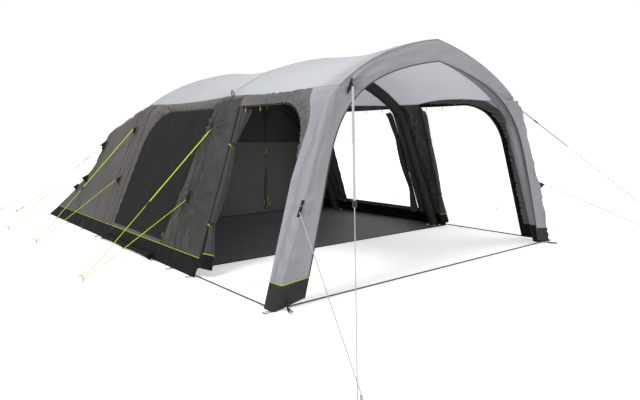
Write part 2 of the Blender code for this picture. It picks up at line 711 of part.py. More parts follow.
def make_living_frames():
    """The cloth frames of the living doors: a band over the top, down the rear side and under the door."""
    for side, word, top in ((-1, "left", LEFT_OPENING_TOP), (1, "right", RIGHT_OPENING_TOP)):
        along, seam = eave_seam(LIVING, side)
        heights = door_rows(top)[::-1]
        rear = from_front(FRAME_REAR) - SEAM_GAP
        low = SKIRT_HEIGHT + SEAM_GAP
        corner = float(door_rear_y(top, top))
        start = float(pillar_rear_y(top, side)) + SEAM_GAP
        inner_y = np.concatenate([np.linspace(start, corner, 5)[:-1], door_rear_y(heights, top),
                                  [float(pillar_rear_y(DOOR_FOOT, side)) + SEAM_GAP]])
        inner_z = np.concatenate([np.full(4, top), heights, [DOOR_FOOT]])
        seam_z = seam - SEAM_GAP
        seam_y = LIVING.y_of(along, seam_z)
        seam_y[0] += SEAM_GAP
        seam_y[-1] -= SEAM_GAP
        down = np.linspace(seam_z[-1], low, len(heights))[1:]
        last = float(pillar_rear_y(low, side)) + SEAM_GAP
        outer_y = np.concatenate([seam_y, np.full(len(down), rear), [last]])
        outer_z = np.concatenate([seam_z, down, [low]])
        mix = np.array([0.0, 1.0])[:, None]
        y = outer_y * (1 - mix) + inner_y * mix
        z = outer_z * (1 - mix) + inner_z * mix
        add_object(f"living_frame_{word}", *wall_panel_body(LIVING, side, y, z), WALL_CLOTH)


def gusset_reach(height):
    """How far the sleeping wall runs on behind the rear arch at a height, down to the rear corner."""
    full = LENGTH - REAR_SETBACK - REAR_CREST_BACK
    return full * np.clip(1 - height / GUSSET_HEIGHT, 0, 1) ** GUSSET_POWER


def rear_edge_y(height):
    """Y of the rear edge of the sleeping wall."""
    return REAR.y_at(height) + gusset_reach(height)


def wall_row_shares(arch, low_height):
    """Shares of the half outline for a wall's rows, with rows at the shoulder and between it and the eave."""
    low = float(arch.share_at(low_height))
    return np.concatenate([np.linspace(low, 0.5, 6), np.linspace(0.5, EAVE_SHARE, 3)[1:]])


def sleeping_wall_points(side, inset):
    """Grid of the dark wall from the living door's frame to the rear arch and down to the rear corner."""
    low = SKIRT_HEIGHT + SEAM_GAP
    first_rows = wall_row_shares(SLEEPING, low)
    last_rows = wall_row_shares(REAR, low)
    grid = []
    for index, (first, last) in enumerate(zip(first_rows, last_rows)):
        top = index == len(first_rows) - 1
        height = float(SLEEPING.outline(first)[0][1]) - (SEAM_GAP if top else 0.0)
        start = from_front(FRAME_REAR)
        y = start + (float(SLEEPING.y_at(height)) - start) * np.array([0.0, 0.5])
        row = list(LIVING.points(*LIVING.place(side, y, np.full(2, height)), inset))
        for along in np.linspace(0, 1, 7):
            share = (1 - along) * first + along * last - (SEAM_GAP / 2 if top else 0.0)
            point = BEDROOM.points(along, side * (1 - share), inset)
            plain = BEDROOM.points(along, side * (1 - share))
            point[1] += along * float(gusset_reach(plain[2]))
            row.append(point)
        grid.append(row)
    return np.array(grid)


def make_sleeping_walls():
    """The dark side walls of the sleeping bay."""
    for side, word in ((-1, "left"), (1, "right")):
        add_object(f"sleeping_wall_{word}", *sheet_body(sleeping_wall_points(side, 0.0),
                                                        sleeping_wall_points(side, CLOTH)), WALL_CLOTH)


def rear_points(across, low_height, low_y, inset, shift=0.0):
    """Grid of a rear wall that falls from the rear arch's crest to a straight hem, a row for each side row."""
    crest = REAR.points(across, inset)
    wide = abs(crest[0, 0])
    rows = wall_row_shares(REAR, low_height)[::-1]
    flat, normal = REAR.outline(rows)
    side = flat - normal * inset
    edge = rear_edge_y(flat[:, 1])
    fall = (side[0, 1] - side[:, 1]) / (side[0, 1] - low_height)
    fall = np.clip(fall / fall[-1], 0, 1)
    side_shape = (edge - edge[0]) / (edge[-1] - edge[0])
    grid = []
    for (x, z), step, shape in zip(side, fall, side_shape):
        share = crest[:, 0] / wide
        crown = 1 - np.abs(share) ** REAR_BELLY_POWER
        hem = edge[-1] + (low_y - edge[-1]) * crown
        mix = crown * step + (1 - crown) * shape
        y = crest[:, 1] + (hem - crest[:, 1]) * mix + shift
        height = np.maximum(z, low_height) + (crest[:, 2] - side[0, 1]) * (1 - step)
        grid.append(np.stack([x * share, y, height], axis=-1))
    return np.array(grid)


def make_rear_wall():
    """The sloping rear wall, from the rear arch down to its skirt."""
    outer = rear_points(roof_shares(EAVE_SHARE, EAVE_SHARE), REAR_SKIRT_HEIGHT + SEAM_GAP,
                        from_front(LENGTH - REAR_SKIRT_HEIGHT), CLOTH + 2 * SEAM_GAP, SEAM_GAP)
    add_object("rear_wall", *sheet_body(outer, outer - np.array([0.0, CLOTH, 0.0])), WALL_CLOTH)


def make_skirts():
    """The charcoal mud skirts along both sides and the rear."""
    for side, word, front, rear in ((-1, "left", LEFT_PILLAR_FRONT_FOOT, LEFT_PILLAR_REAR_FOOT),
                                    (1, "right", RIGHT_PILLAR_FRONT_FOOT, RIGHT_PILLAR_REAR_FOOT)):
        stations = np.array([front, MIDDLE_SETBACK, rear, FRAME_REAR, REAR_SETBACK, LENGTH - CLOTH])
        z = np.array([[0.0] * len(stations), [SKIRT_HEIGHT] * len(stations)])
        y = np.repeat(from_front(stations)[None], 2, axis=0)
        y[1, -1] = float(rear_edge_y(SKIRT_HEIGHT))
        x = side * wall_x(z)
        outer = np.stack([x, y, z], axis=-1)
        inner = outer - np.array([side * CLOTH * math.hypot(1.0, WALL_LEAN_SHARE), 0.0, 0.0])
        inner[1] = outer[1] - CLOTH * WALL_NORMAL * np.array([side, 1.0, 1.0])
        add_object(f"skirt_{word}", *sheet_body(outer, inner), SKIRT_CLOTH)
    tuck = (CLOTH + 2 * SEAM_GAP) * math.hypot(1.0, WALL_LEAN_SHARE)
    spread = np.linspace(-1, 1, 9)
    crown = 1 - np.abs(spread) ** REAR_BELLY_POWER
    corner = float(rear_edge_y(REAR_SKIRT_HEIGHT))
    high_y = corner + (from_front(LENGTH - REAR_SKIRT_HEIGHT) - corner) * crown
    low = np.stack([spread * (wall_x(0.0) - tuck), np.full(9, from_front(LENGTH)), np.zeros(9)], axis=-1)
    high_x = spread * (wall_x(REAR_SKIRT_HEIGHT) - tuck)
    high = np.stack([high_x, high_y, np.full(9, REAR_SKIRT_HEIGHT)], axis=-1)
    outer = np.array([low, high])
    add_object("skirt_rear", *sheet_body(outer, outer - np.array([0.0, CLOTH, 0.0])), SKIRT_CLOTH)


def mitred_normals(line, plain):
    """Offsets that move a polyline in the XZ plane parallel to itself by one unit."""
    if len(line) < 2:
        return plain
    steps = np.diff(line[:, [0, 2]], axis=0)
    steps = steps / np.linalg.norm(steps, axis=1, keepdims=True)
    steps = np.concatenate([steps[:1], steps, steps[-1:]])
    normals = np.stack([-steps[:, 1], steps[:, 0]], axis=-1)
    total = normals[:-1] + normals[1:]
    total = total / (total * normals[:-1]).sum(axis=1, keepdims=True)
    return np.stack([total[:, 0], np.zeros(len(line)), total[:, 1]], axis=-1)


def tube_surface(spots):
    """Where an arch's tube runs: as high as its sleeve fits under the cloth on both sides of it."""
    def surface(across):
        crest = normal = None
        depth = np.zeros(len(across))
        for bay, end, shift in spots:
            span = bay.points(1.0, across)[:, 1] - bay.points(0.0, across)[:, 1]
            start = end + shift / span
            if crest is None:
                crest = bay.points(start, across)
                normal = bay.points(start, across, -1.0) - crest
            for turn in np.linspace(-1.5, 1.5, 15):
                place = start + SLEEVE_RADIUS * math.sin(turn) / span
                drop = ((crest - bay.points(np.clip(place, 0, 1), across)) * normal).sum(axis=-1)
                reach = drop + SLEEVE_RADIUS * math.cos(turn)
                depth = np.maximum(depth, np.where((place >= 0) & (place <= 1), reach, 0.0))
        return crest - mitred_normals(crest, normal) * (depth + CLOTH + SLEEVE_CLEARANCE)[:, None]
    return surface


def tube_line(surface):
    """Centre line of an arch's tube on an offset surface, with the directions of its rings."""
    half = np.concatenate([np.linspace(0, 0.5, LEG_STEPS + 1)[:-1], np.linspace(0.5, EAVE_SHARE, 3)[:-1],
                           np.linspace(EAVE_SHARE, 1, ROOF_STEPS + 1)])
    across = np.concatenate([half - 1, (1 - half)[::-1][1:]])
    path = surface(across)
    steps = np.diff(path, axis=0)
    steps = steps / np.linalg.norm(steps, axis=1, keepdims=True)
    tangent = np.concatenate([steps[:1], steps[:-1] + steps[1:], steps[-1:]])
    return path, tangent / np.linalg.norm(tangent, axis=1, keepdims=True)


def tube_rings(path, tangent, radius, foot):
    """Rings of a tube along its line, with both ends cut level at the foot height."""
    level = np.array([0.0, 1.0, 0.0])
    turn = np.linspace(0, 2 * math.pi, TUBE_SIDES, endpoint=False)
    rings = []
    for centre, way in zip(path, tangent):
        side = level - way * (level @ way)
        side = side / np.linalg.norm(side)
        up = np.cross(side, way)
        ring = centre + radius * (np.cos(turn)[:, None] * up + np.sin(turn)[:, None] * side)
        rings.append(ring)
    rings = np.array(rings)
    for end in (0, -1):
        way = tangent[end]
        rings[end] += way * ((foot - rings[end][:, 2:3]) / way[2])
    return rings


def make_air_arches():
    """Each arch: a sewn sleeve, the air tube inside it with its valve, and the valve's cap."""
    bore = SLEEVE_RADIUS - SLEEVE_WALL
    bladder = bore - BLADDER_CLEARANCE
    places = (("front", ((CANOPY, 0, FRONT_TUBE_SETBACK),)), ("middle", ((CANOPY, 1, 0), (LIVING, 0, 0))),
              ("sleeping", ((LIVING, 1, 0), (BEDROOM, 0, 0))), ("rear", ((BEDROOM, 1, -REAR_CREST_BACK),)))
    for word, spots in places:
        surface = tube_surface(spots)
        path, tangent = tube_line(surface)
        sleeve = add_object(f"sleeve_{word}", *ring_body(tube_rings(path, tangent, SLEEVE_RADIUS, 0.0),
                                                         tube_rings(path, tangent, bore, 0.0)),
                            GABLE_CLOTH if word == "front" else SLEEVE_CLOTH)
        tube = add_object(f"air_tube_{word}", *ring_body(tube_rings(path, tangent, bladder, BLADDER_FOOT)),
                          TUBE_FILM)
        add_valve(word, surface, sleeve, tube)


def disc_body(centre, way, radius, thickness, sides=20):
    """A round disc that starts at its centre point and grows along a direction."""
    way = np.asarray(way, float) / np.linalg.norm(way)
    level = np.array([0.0, 1.0, 0.0])
    up = np.cross(way, level)
    up = up / np.linalg.norm(up)
    turn = np.linspace(0, 2 * math.pi, sides, endpoint=False)
    ring = radius * (np.cos(turn)[:, None] * level + np.sin(turn)[:, None] * up)
    return ring_body([centre + ring, centre + ring + way * thickness])


def add_valve(word, surface, sleeve, tube):
    """Weld a valve to the tube, cut its hole in the sleeve and set its cap on it."""
    share = float(FRONT.share_at(VALVE_HEIGHT))
    centre = surface(np.array([share - 1]))[0]
    inward = -LEFT_NORMAL
    reach = SLEEVE_RADIUS + VALVE_REACH
    boss = add_object(f"valve_boss_{word}", *disc_body(centre, inward, VALVE_RADIUS, reach), VALVE_PLASTIC)
    carve(tube, boss, "UNION")
    hole = add_object(f"valve_hole_{word}", *disc_body(centre, inward, VALVE_RADIUS + VALVE_HOLE_CLEARANCE,
                                                       reach), VALVE_PLASTIC)
    carve(sleeve, hole)
    seat = centre + inward * (reach + TOUCH_GAP)
    cap = disc_body(seat, inward, CAP_RADIUS, CAP_THICKNESS)
    cap_object = add_object(f"valve_cap_{word}", *cap, VALVE_PLASTIC, origin=seat)
    grip_centre = seat + inward * (CAP_THICKNESS + CAP_GRIP_HEIGHT / 2 - TOUCH_GAP)
    grip = block_body(grip_centre, (0.0, 1.0, 0.0), np.cross(inward, (0.0, 1.0, 0.0)), inward,
                      (2 * CAP_RADIUS - CAP_GRIP_WIDTH, CAP_GRIP_WIDTH, CAP_GRIP_HEIGHT))
    carve(cap_object, add_object(f"cap_grip_{word}", *grip, VALVE_PLASTIC), "UNION")


def make_groundsheet():
    """The floor, notched round the feet of the arches."""
    edge = wall_x(GROUNDSHEET_THICKNESS) - CLOTH * math.hypot(1.0, WALL_LEAN_SHARE) - TOUCH_GAP
    notch = edge - FOOT_NOTCH
    front, rear = from_front(GROUNDSHEET_FRONT), from_front(LENGTH - GROUNDSHEET_REAR_GAP)
    half = SLEEVE_RADIUS + FOOT_NOTCH_GAP
    right = [(notch, front)]
    for arch in (MIDDLE, SLEEPING, REAR):
        centre = arch.foot_y - (REAR_CREST_BACK if arch is REAR else 0.0)
        if centre - half > front:
            right += [(edge, centre - half), (notch, centre - half)]
        right += [(notch, centre + half), (edge, centre + half)]
    right += [(edge, rear)]
    outline = right + [(-x, y) for x, y in reversed(right)]
    prism("groundsheet", [(x, y, 0.0) for x, y in outline], (0.0, 0.0, GROUNDSHEET_THICKNESS), FLOOR_CLOTH)


def prism(name, outline, run, finish):
    """Extrude a flat outline of world points along a run."""
    obj = add_object(name, *prism_body(outline, run), finish, smooth=False)
    return obj


def prism_body(outline, run):
    """Closed body of a flat outline carried along a run."""
    low = [np.asarray(p, float) for p in outline]
    high = [p + np.asarray(run) for p in low]
    count = len(low)
    faces = [list(range(count))[::-1], [count + i for i in range(count)]]
    faces += [[i, (i + 1) % count, count + (i + 1) % count, count + i] for i in range(count)]
    return low + high, faces


def bedroom_across():
    """Across values from foot to foot for the bedroom's cloth."""
    half = np.concatenate([np.linspace(0, 0.5, 3)[:-1], roof_shares(0.5, 0.5)[:ROOF_STEPS + 1] + 1])
    return np.concatenate([half - 1, (1 - half)[::-1][1:]])


def make_bedroom_front():
    """The wall between living bay and bedroom, with a zip rib for each door."""
    y = from_front(BEDROOM_SETBACK)
    first, last = float(SLEEPING.y_at(SLEEPING.apex)), float(REAR.y_at(REAR.apex))
    line = BEDROOM.points((y - first) / (last - first), bedroom_across(), CLOTH + BEDROOM_SIDE_GAP)
    floor = GROUNDSHEET_THICKNESS + TOUCH_GAP
    outline = [(x, y, max(z, floor)) for x, _, z in line]
    wall = prism("bedroom_front", outline, (0.0, CLOTH, 0.0), INNER_CLOTH)
    for side, word in ((-1, "left"), (1, "right")):
        centre = (side * ZIP_HALF_SPREAD, y - (ZIP_HEIGHT - CLOTH / 2) / 2, (ZIP_TOP + ZIP_FOOT) / 2)
        size = (ZIP_TOP - ZIP_FOOT, ZIP_WIDTH, ZIP_HEIGHT + CLOTH / 2)
        rib = block_body(centre, (0, 0, 1), (1, 0, 0), (0, 1, 0), size)
        carve(wall, add_object(f"bedroom_zip_rib_{word}", *rib, INNER_CLOTH), "UNION")


def make_inner_tent():
    """The breathable inner tent behind the bedroom front, as one sheet over its sides, roof and rear."""
    across = bedroom_across()
    floor = GROUNDSHEET_THICKNESS + TOUCH_GAP
    grids = []
    for inset in (INNER_INSET, INNER_INSET + CLOTH):
        rows = [BEDROOM.points(along, across, inset)
                for along in np.linspace(INNER_START_SHARE, INNER_END_SHARE, 5)]
        last = rows[-1]
        hem_y = from_front(LENGTH - INNER_REAR_GAP) - (inset - INNER_INSET)
        hem = np.stack([last[:, 0], np.full(len(across), hem_y), np.full(len(across), floor)], axis=-1)
        rows += [last * (1 - step) + hem * step for step in (0.33, 0.67, 1.0)]
        grid = np.array(rows)
        grid[..., 2] = np.maximum(grid[..., 2], floor)
        grids.append(grid)
    add_object("inner_tent", *sheet_body(*grids), INNER_CLOTH)


def slider_body(centre, run, out):
    """A zip slider that straddles its rib, with a pull hanging from it: an outline carried along the run."""
    run = np.asarray(run, float) / np.linalg.norm(run)
    out = np.asarray(out, float) / np.linalg.norm(out)
    across = np.cross(run, out)
    half = SLIDER_WIDTH / 2
    groove = ZIP_WIDTH / 2 + SLIDER_LIP
    depth = ZIP_HEIGHT + SLIDER_LIP
    shape = [(-half, TOUCH_GAP), (-groove, TOUCH_GAP), (-groove, depth), (groove, depth), (groove, TOUCH_GAP),
             (half, TOUCH_GAP), (half, SLIDER_THICKNESS), (-half, SLIDER_THICKNESS)]
    start = np.asarray(centre) - run * SLIDER_LENGTH / 2
    outline = [start + across * a + out * b for a, b in shape]
    return prism_body(outline, run * SLIDER_LENGTH)


def make_slider(name, centre, run, out):
    """One zip slider with its pull."""
    body = slider_body(centre, run, out)
    run = np.asarray(run, float) / np.linalg.norm(run)
    out = np.asarray(out, float) / np.linalg.norm(out)
    slider = add_object(name, *body, WEBBING, origin=centre, smooth=False)
    middle = np.asarray(centre) - run * (SLIDER_LENGTH + PULL_LENGTH) / 2 + run * PULL_WIDTH
    middle = middle + out * (SLIDER_THICKNESS - PULL_THICKNESS)
    pull = block_body(middle, run, np.cross(run, out), out, (PULL_LENGTH, PULL_WIDTH, PULL_THICKNESS))
    carve(slider, add_object(name + "_pull", *pull, LIME_LINE, smooth=False), "UNION")


def make_sliders():
    """The sliders of the two bedroom doors and of the mesh door, each at the closed end of its zip."""
    y = from_front(BEDROOM_SETBACK)
    low = ZIP_FOOT + PULL_LENGTH + SLIDER_LENGTH
    for side, word in ((-1, "left"), (1, "right")):
        make_slider(f"bedroom_slider_{word}", (side * ZIP_HALF_SPREAD, y, low), (0, 0, 1), (0, -1, 0))
    foot, top = mesh_zip_point(DOOR_FOOT + PULL_LENGTH + SLIDER_LENGTH), mesh_zip_point(MESH_ZIP_TOP)
    make_slider("mesh_slider", foot, top - foot, LEFT_NORMAL)


def roll_body(line, radii, way):
    """A rolled and tied door: a lobed cloth bundle along a line."""
    turn = np.linspace(0, 2 * math.pi, ROLL_SIDES, endpoint=False)
    line = np.asarray(line, float)
    ahead = (line[-1] - line[0]) / np.linalg.norm(line[-1] - line[0])
    side = np.asarray(way, float) - ahead * (np.asarray(way) @ ahead)
    side = side / np.linalg.norm(side)
    other = np.cross(ahead, side)
    rings = []
    for index, centre in enumerate(line):
        phase = ROLL_TURN * index / (len(line) - 1)
        swell = radii[index] * (1 - ROLL_LOBE_SHARE + ROLL_LOBE_SHARE * np.cos(ROLL_LOBES * turn + phase))
        rings.append(centre + np.cos(turn)[:, None] * swell[:, None] * side
                     + np.sin(turn)[:, None] * swell[:, None] * other)
    return ring_body(rings)


def make_rolls():
    """The rolled doors: two at the pillars' front edges, one behind the right pillar, one at the left base."""
    for side, word, top in ((-1, "left", LEFT_OPENING_TOP), (1, "right", RIGHT_OPENING_TOP)):
        upright_roll(f"canopy_door_roll_{word}", side, CANOPY, top, ROLL_FOOT, pillar_front_y, -1)
    upright_roll("living_door_roll_right", 1, LIVING, RIGHT_OPENING_TOP, DOOR_FOOT, pillar_rear_y, 1)
    height = BASE_ROLL_RADIUS + TOUCH_GAP
    x = -(wall_x(height) + (BASE_ROLL_RADIUS + TOUCH_GAP) * math.hypot(1.0, WALL_LEAN_SHARE))
    share = np.linspace(0, 1, 9)
    y = from_front(BASE_ROLL_FRONT) + (BASE_ROLL_REAR - BASE_ROLL_FRONT) * share
    line = np.stack([np.full(9, x), y, np.full(9, height)], axis=-1)
    radii = BASE_ROLL_RADIUS * (1 - (1 - ROLL_WAIST_SHARE) * np.abs(np.sin(share * math.pi * 2)))
    add_object("base_flap_roll", *roll_body(line, radii, LEFT_NORMAL), SKIRT_CLOTH)


def upright_roll(name, side, bay, top, foot, edge_y, direction):
    """A door rolled to a pillar's edge, tied at the top, the middle and low down, and flared at its foot."""
    share = np.linspace(0, 1, 9)
    waist = ROLL_WAIST_SHARE + (1 - ROLL_WAIST_SHARE) * np.abs(np.cos(share * math.pi * 2))
    ends = np.clip((np.abs(share - 0.5) + ROLL_FLARE_REACH - 0.5) / ROLL_FLARE_REACH, 0, 1)
    radii = ROLL_RADIUS * waist * (1 + (ROLL_FLARE_SHARE - 1) * ends)
    start = top - radii[0] * (1 + WALL_NORMAL[2]) / 2
    height = start + (foot - start) * share
    step = ROLL_STEP_SHARE * radii
    contact = ROLL_CONTACT_SHARE if direction < 0 else 1
    inside = np.sqrt((contact * radii + ROLL_CLEARANCE) ** 2 - step ** 2)
    edge = edge_y(height, side)
    if direction < 0:
        edge[-2:] = np.minimum(edge[-2:], edge_y(0.0, side))
    line = bay.points(*bay.place(side, edge, height), CLOTH + inside)
    line[:, 1] += direction * step
    add_object(name, *roll_body(line, radii, (0, 1, 0)), BAND_CLOTH)


# Guylines: high tab, peg, low tab, and the share of the high line that is webbing; chosen by hand
GUYLINES = {
    "front_left": ((-1.165, -3.030, 1.600), (-2.385, -4.388, 0.0), (-1.735, -3.095, 0.690), 0.50),
    "front_right": ((1.365, -2.950, 1.530), (2.667, -4.368, 0.0), (1.780, -3.075, 0.680), 0.10),
    "middle_left": ((-1.510, -1.420, 1.290), (-2.730, -1.395, 0.0), (-1.800, -1.440, 0.630), 0.53),
    "middle_right": ((1.510, -1.420, 1.290), (3.850, -1.225, 0.0), (1.800, -1.440, 0.630), 0.10),
    "sleeping_left": ((-1.500, 0.620, 1.310), (-2.660, 0.635, 0.0), (-1.745, 0.600, 0.690), 0.55),
    "sleeping_right": ((1.500, 0.620, 1.310), (3.950, 1.125, 0.0), (1.745, 0.600, 0.690), 0.10),
    "rear_side": ((-1.585, 1.580, 1.105), (-2.740, 1.805, 0.0), (-1.850, 2.080, 0.500), 0.55),
    "rear_back": ((-1.580, 1.630, 1.100), (-2.480, 4.025, 0.0), (-1.790, 1.850, 0.640), 0.0),
    "rear_storm": ((-1.580, 1.605, 1.060), (-2.330, 3.605, 0.0), (-1.790, 1.810, 0.620), 0.0),
}
LINE_FINISH = {"front_left": GREY_LINE, "front_right": DARK_LINE, "rear_storm": DARK_LINE}
RUNNERS = ("front_left", "front_right", "middle_left", "sleeping_left")
SEATS = {
    "front_left": ("front_gable", "leg_left"),
    "front_right": ("leg_right", "leg_right"),
    "middle_left": ("pillar_left", "pillar_left"),
    "middle_right": ("pillar_right", "pillar_right"),
    "sleeping_left": ("sleeping_wall_left", "sleeping_wall_left"),
    "sleeping_right": ("sleeping_wall_right", "sleeping_wall_right"),
    "rear_side": ("sleeping_wall_left", "sleeping_wall_left"),
    "rear_back": ("sleeping_wall_left", "sleeping_wall_left"),
    "rear_storm": ("sleeping_wall_left", "sleeping_wall_left"),
}


def unit(vector):
    """The vector at length one."""
    vector = np.asarray(vector, float)
    return vector / np.linalg.norm(vector)


def peg_frame(peg, high, low):
    """Centre of a line's turn round its peg and the level direction from it towards the tent."""
    centre = np.array([peg[0], peg[1], PEG_TURN_HEIGHT])
    return centre, unit([(high[0] + low[0]) / 2 - peg[0], (high[1] + low[1]) / 2 - peg[1], 0.0])


def peg_turn(peg, high, low):
    """Points of a line's turn round its peg, from the high side to the low side."""
    centre, back = peg_frame(peg, high, low)
    side = np.array([-back[1], back[0], 0.0])
    turn = np.linspace(0, math.pi, 7)
    return [centre + PEG_TURN_RADIUS * (side * math.cos(a) - back * math.sin(a)) for a in turn]


def tube_body(path, radius, sides=8):
    """A round bar along a line of points, with flat ends."""
    path = np.asarray(path, float)
    steps = np.diff(path, axis=0)
    steps = steps / np.linalg.norm(steps, axis=1, keepdims=True)
    tangent = np.concatenate([steps[:1], steps[:-1] + steps[1:], steps[-1:]])
    tangent = tangent / np.linalg.norm(tangent, axis=1, keepdims=True)
    side = unit(np.cross(tangent[0], (0.0, 0.0, 1.0) if abs(tangent[0][2]) < 0.9 else (1.0, 0.0, 0.0)))
    turn = np.linspace(0, 2 * math.pi, sides, endpoint=False)
    rings = []
    for centre, way in zip(path, tangent):
        side = unit(side - way * (side @ way))
        up = np.cross(way, side)
        rings.append(centre + radius * (np.cos(turn)[:, None] * side + np.sin(turn)[:, None] * up))
    return ring_body(rings)


def line_bend(name):
    """Where the webbing of a guyline's high line ends and its cord starts, and the line's direction."""
    high, peg, low, share = GUYLINES[name]
    end = peg_turn(peg, high, low)[0]
    return np.asarray(high) + (end - np.asarray(high)) * share, unit(end - np.asarray(high))


def make_guylines():
    """Each guyline with its peg: webbing from the high tab, then a cord round the peg and up to the low tab."""
    for name, (high, peg, low, share) in GUYLINES.items():
        finish = LINE_FINISH.get(name, LIME_LINE)
        bend, way = line_bend(name)
        turn = peg_turn(peg, high, low)
        end = np.asarray(low) - unit(np.asarray(low) - turn[-1]) * TOUCH_GAP
        start = bend - way * (STRAP_THICKNESS if share > 0 else -TOUCH_GAP)
        line = add_object(f"guyline_{name}", *tube_body([start, *turn, end], LINE_DIAMETER / 2), finish)
        if share > 0:
            first = np.asarray(high) + way * TOUCH_GAP
            flat = unit(np.cross(way, (0.0, 0.0, 1.0)))
            strap = block_body((first + bend) / 2, way, flat, np.cross(way, flat),
                               (np.linalg.norm(bend - first), STRAP_WIDTH, STRAP_THICKNESS))
            carve(line, add_object(f"webbing_{name}", *strap, finish), "UNION")
        centre, back = peg_frame(peg, high, low)
        foot = centre - back * (PEG_TURN_RADIUS - LINE_DIAMETER / 2 - PEG_RADIUS + PEG_BITE)
        foot[2] = 0.0
        top = foot + np.array([0.0, 0.0, PEG_HEIGHT])
        head = tube_body([foot, top, top - back * PEG_HOOK], PEG_RADIUS)
        carve(line, add_object(f"peg_{name}", *head, PEG_STEEL), "UNION")


def make_runners():
    """The runners: flat sleeves that slide along a guyline where its webbing ends."""
    for name in RUNNERS:
        bend, way = line_bend(name)
        flat = unit(np.cross(way, (0.0, 0.0, 1.0)))
        up = np.cross(way, flat)
        start = bend - way * RUNNER_LENGTH / 2

        def frame_ring(width, thickness, shift):
            corners = ((-1, -1), (1, -1), (1, 1), (-1, 1))
            return [start + way * shift + flat * a * width / 2 + up * b * thickness / 2 for a, b in corners]

        bore_width = STRAP_WIDTH + 2 * RUNNER_CLEARANCE
        bore_height = LINE_DIAMETER + 2 * RUNNER_CLEARANCE
        outer = [frame_ring(RUNNER_WIDTH, RUNNER_THICKNESS, shift) for shift in (0.0, RUNNER_LENGTH)]
        bore = [frame_ring(bore_width, bore_height, shift) for shift in (0.0, RUNNER_LENGTH)]
        add_object(f"runner_{name}", *ring_body(outer, bore), WEBBING, origin=bend, smooth=False)


def surface_tree(obj):
    """Search tree of the faces of a built panel."""
    verts = [obj.location + v.co for v in obj.data.vertices]
    return BVHTree.FromPolygons(verts, [list(polygon.vertices) for polygon in obj.data.polygons])


def make_tabs():
    """Triangular webbing tabs, sewn to the panels where the guylines end."""
    for name, (high, peg, low, _) in GUYLINES.items():
        for tip, seat_name, word in ((high, SEATS[name][0], "high"), (low, SEATS[name][1], "low")):
            panel = bpy.data.objects[seat_name]
            tip = np.asarray(tip)
            hit = surface_tree(panel).find_nearest(Vector(tip + np.array([0.0, 0.0, TAB_RISE])))[0]
            up = unit((-math.copysign(WALL_LEAN_SHARE, tip[0]), 0.0, 1.0))
            out = unit(tip - np.array(hit))
            base = np.array(hit) - out * CLOTH / 2
            across = unit(np.cross(out, up))
            turn = peg_turn(peg, high, low)
            pull = unit((turn[0] if word == "high" else turn[-1]) - tip)
            outline = [base - up * TAB_HALF_HEIGHT, base + up * TAB_HALF_HEIGHT, tip + up * TAB_TIP,
                       tip - up * TAB_TIP]
            verts, faces = prism_body([point - across * TAB_THICKNESS / 2 for point in outline],
                                      across * TAB_THICKNESS)
            for index in (2, 3, 6, 7):
                verts[index] = verts[index] + pull * ((tip - verts[index]) @ pull - TOUCH_GAP)
            carve(panel, add_object(f"tab_{name}_{word}", verts, faces, WEBBING, smooth=False), "UNION")


def make_ground_straps():
    """The taut straps that keep the feet of the front and middle arches apart."""
    height = GROUND_STRAP_HEIGHT
    wall = wall_x(height) - CLOTH / 2
    front = from_front(0.0) - SEAM_GAP - GROUND_STRAP_THICKNESS / 2
    high = height + GROUND_STRAP_WIDTH / 2
    left = float(leg_rear_y(high)) + SEAM_GAP, from_front(LEFT_PILLAR_FRONT_FOOT) - SEAM_GAP
    right = float(right_band_y(high)) + SEAM_GAP, from_front(RIGHT_PILLAR_FRONT_FOOT) - SEAM_GAP
    reach = (OPENING_HALF_WIDTH + FOOT_HALF_WIDTH) / 2
    runs = {"left": ((-wall, left[0], height), (-wall, left[1], height)),
            "right": ((wall, right[0], height), (wall, right[1], height)),
            "front": ((-reach, front, height), (reach, front, height))}
    for word, (first, second) in runs.items():
        first, second = np.asarray(first), np.asarray(second)
        way = unit(second - first)
        flat = np.cross(way, (0.0, 0.0, 1.0))
        size = (np.linalg.norm(second - first), GROUND_STRAP_THICKNESS, GROUND_STRAP_WIDTH)
        body = block_body((first + second) / 2, way, flat, (0.0, 0.0, 1.0), size)
        add_object(f"ground_strap_{word}", *body, DARK_LINE, smooth=False)


def build():
    """Build the whole tent."""
    clear_scene()
    make_roofs()
    make_gable()
    make_legs()
    make_pillars()
    make_canopy_bands()
    make_mesh_door()
    make_living_frames()
    make_sleeping_walls()
    make_rear_wall()
    make_skirts()
    make_air_arches()
    make_groundsheet()
    make_bedroom_front()
    make_inner_tent()
    make_sliders()
    make_rolls()
    make_guylines()
    make_runners()
    make_tabs()
    make_ground_straps()


build()
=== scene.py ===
"""Looks of an inflatable family tent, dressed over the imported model.

The scene works out the tent's surfaces from the formulas of its cut at a finer step: arches, the bays that sag
between them, and the sewn panels with their folds, bindings and piping. Units are metres and +Z is up.
"""
from __future__ import annotations

import json
import logging
import math
from dataclasses import dataclass
from enum import Enum, IntEnum
from typing import Callable, Sequence

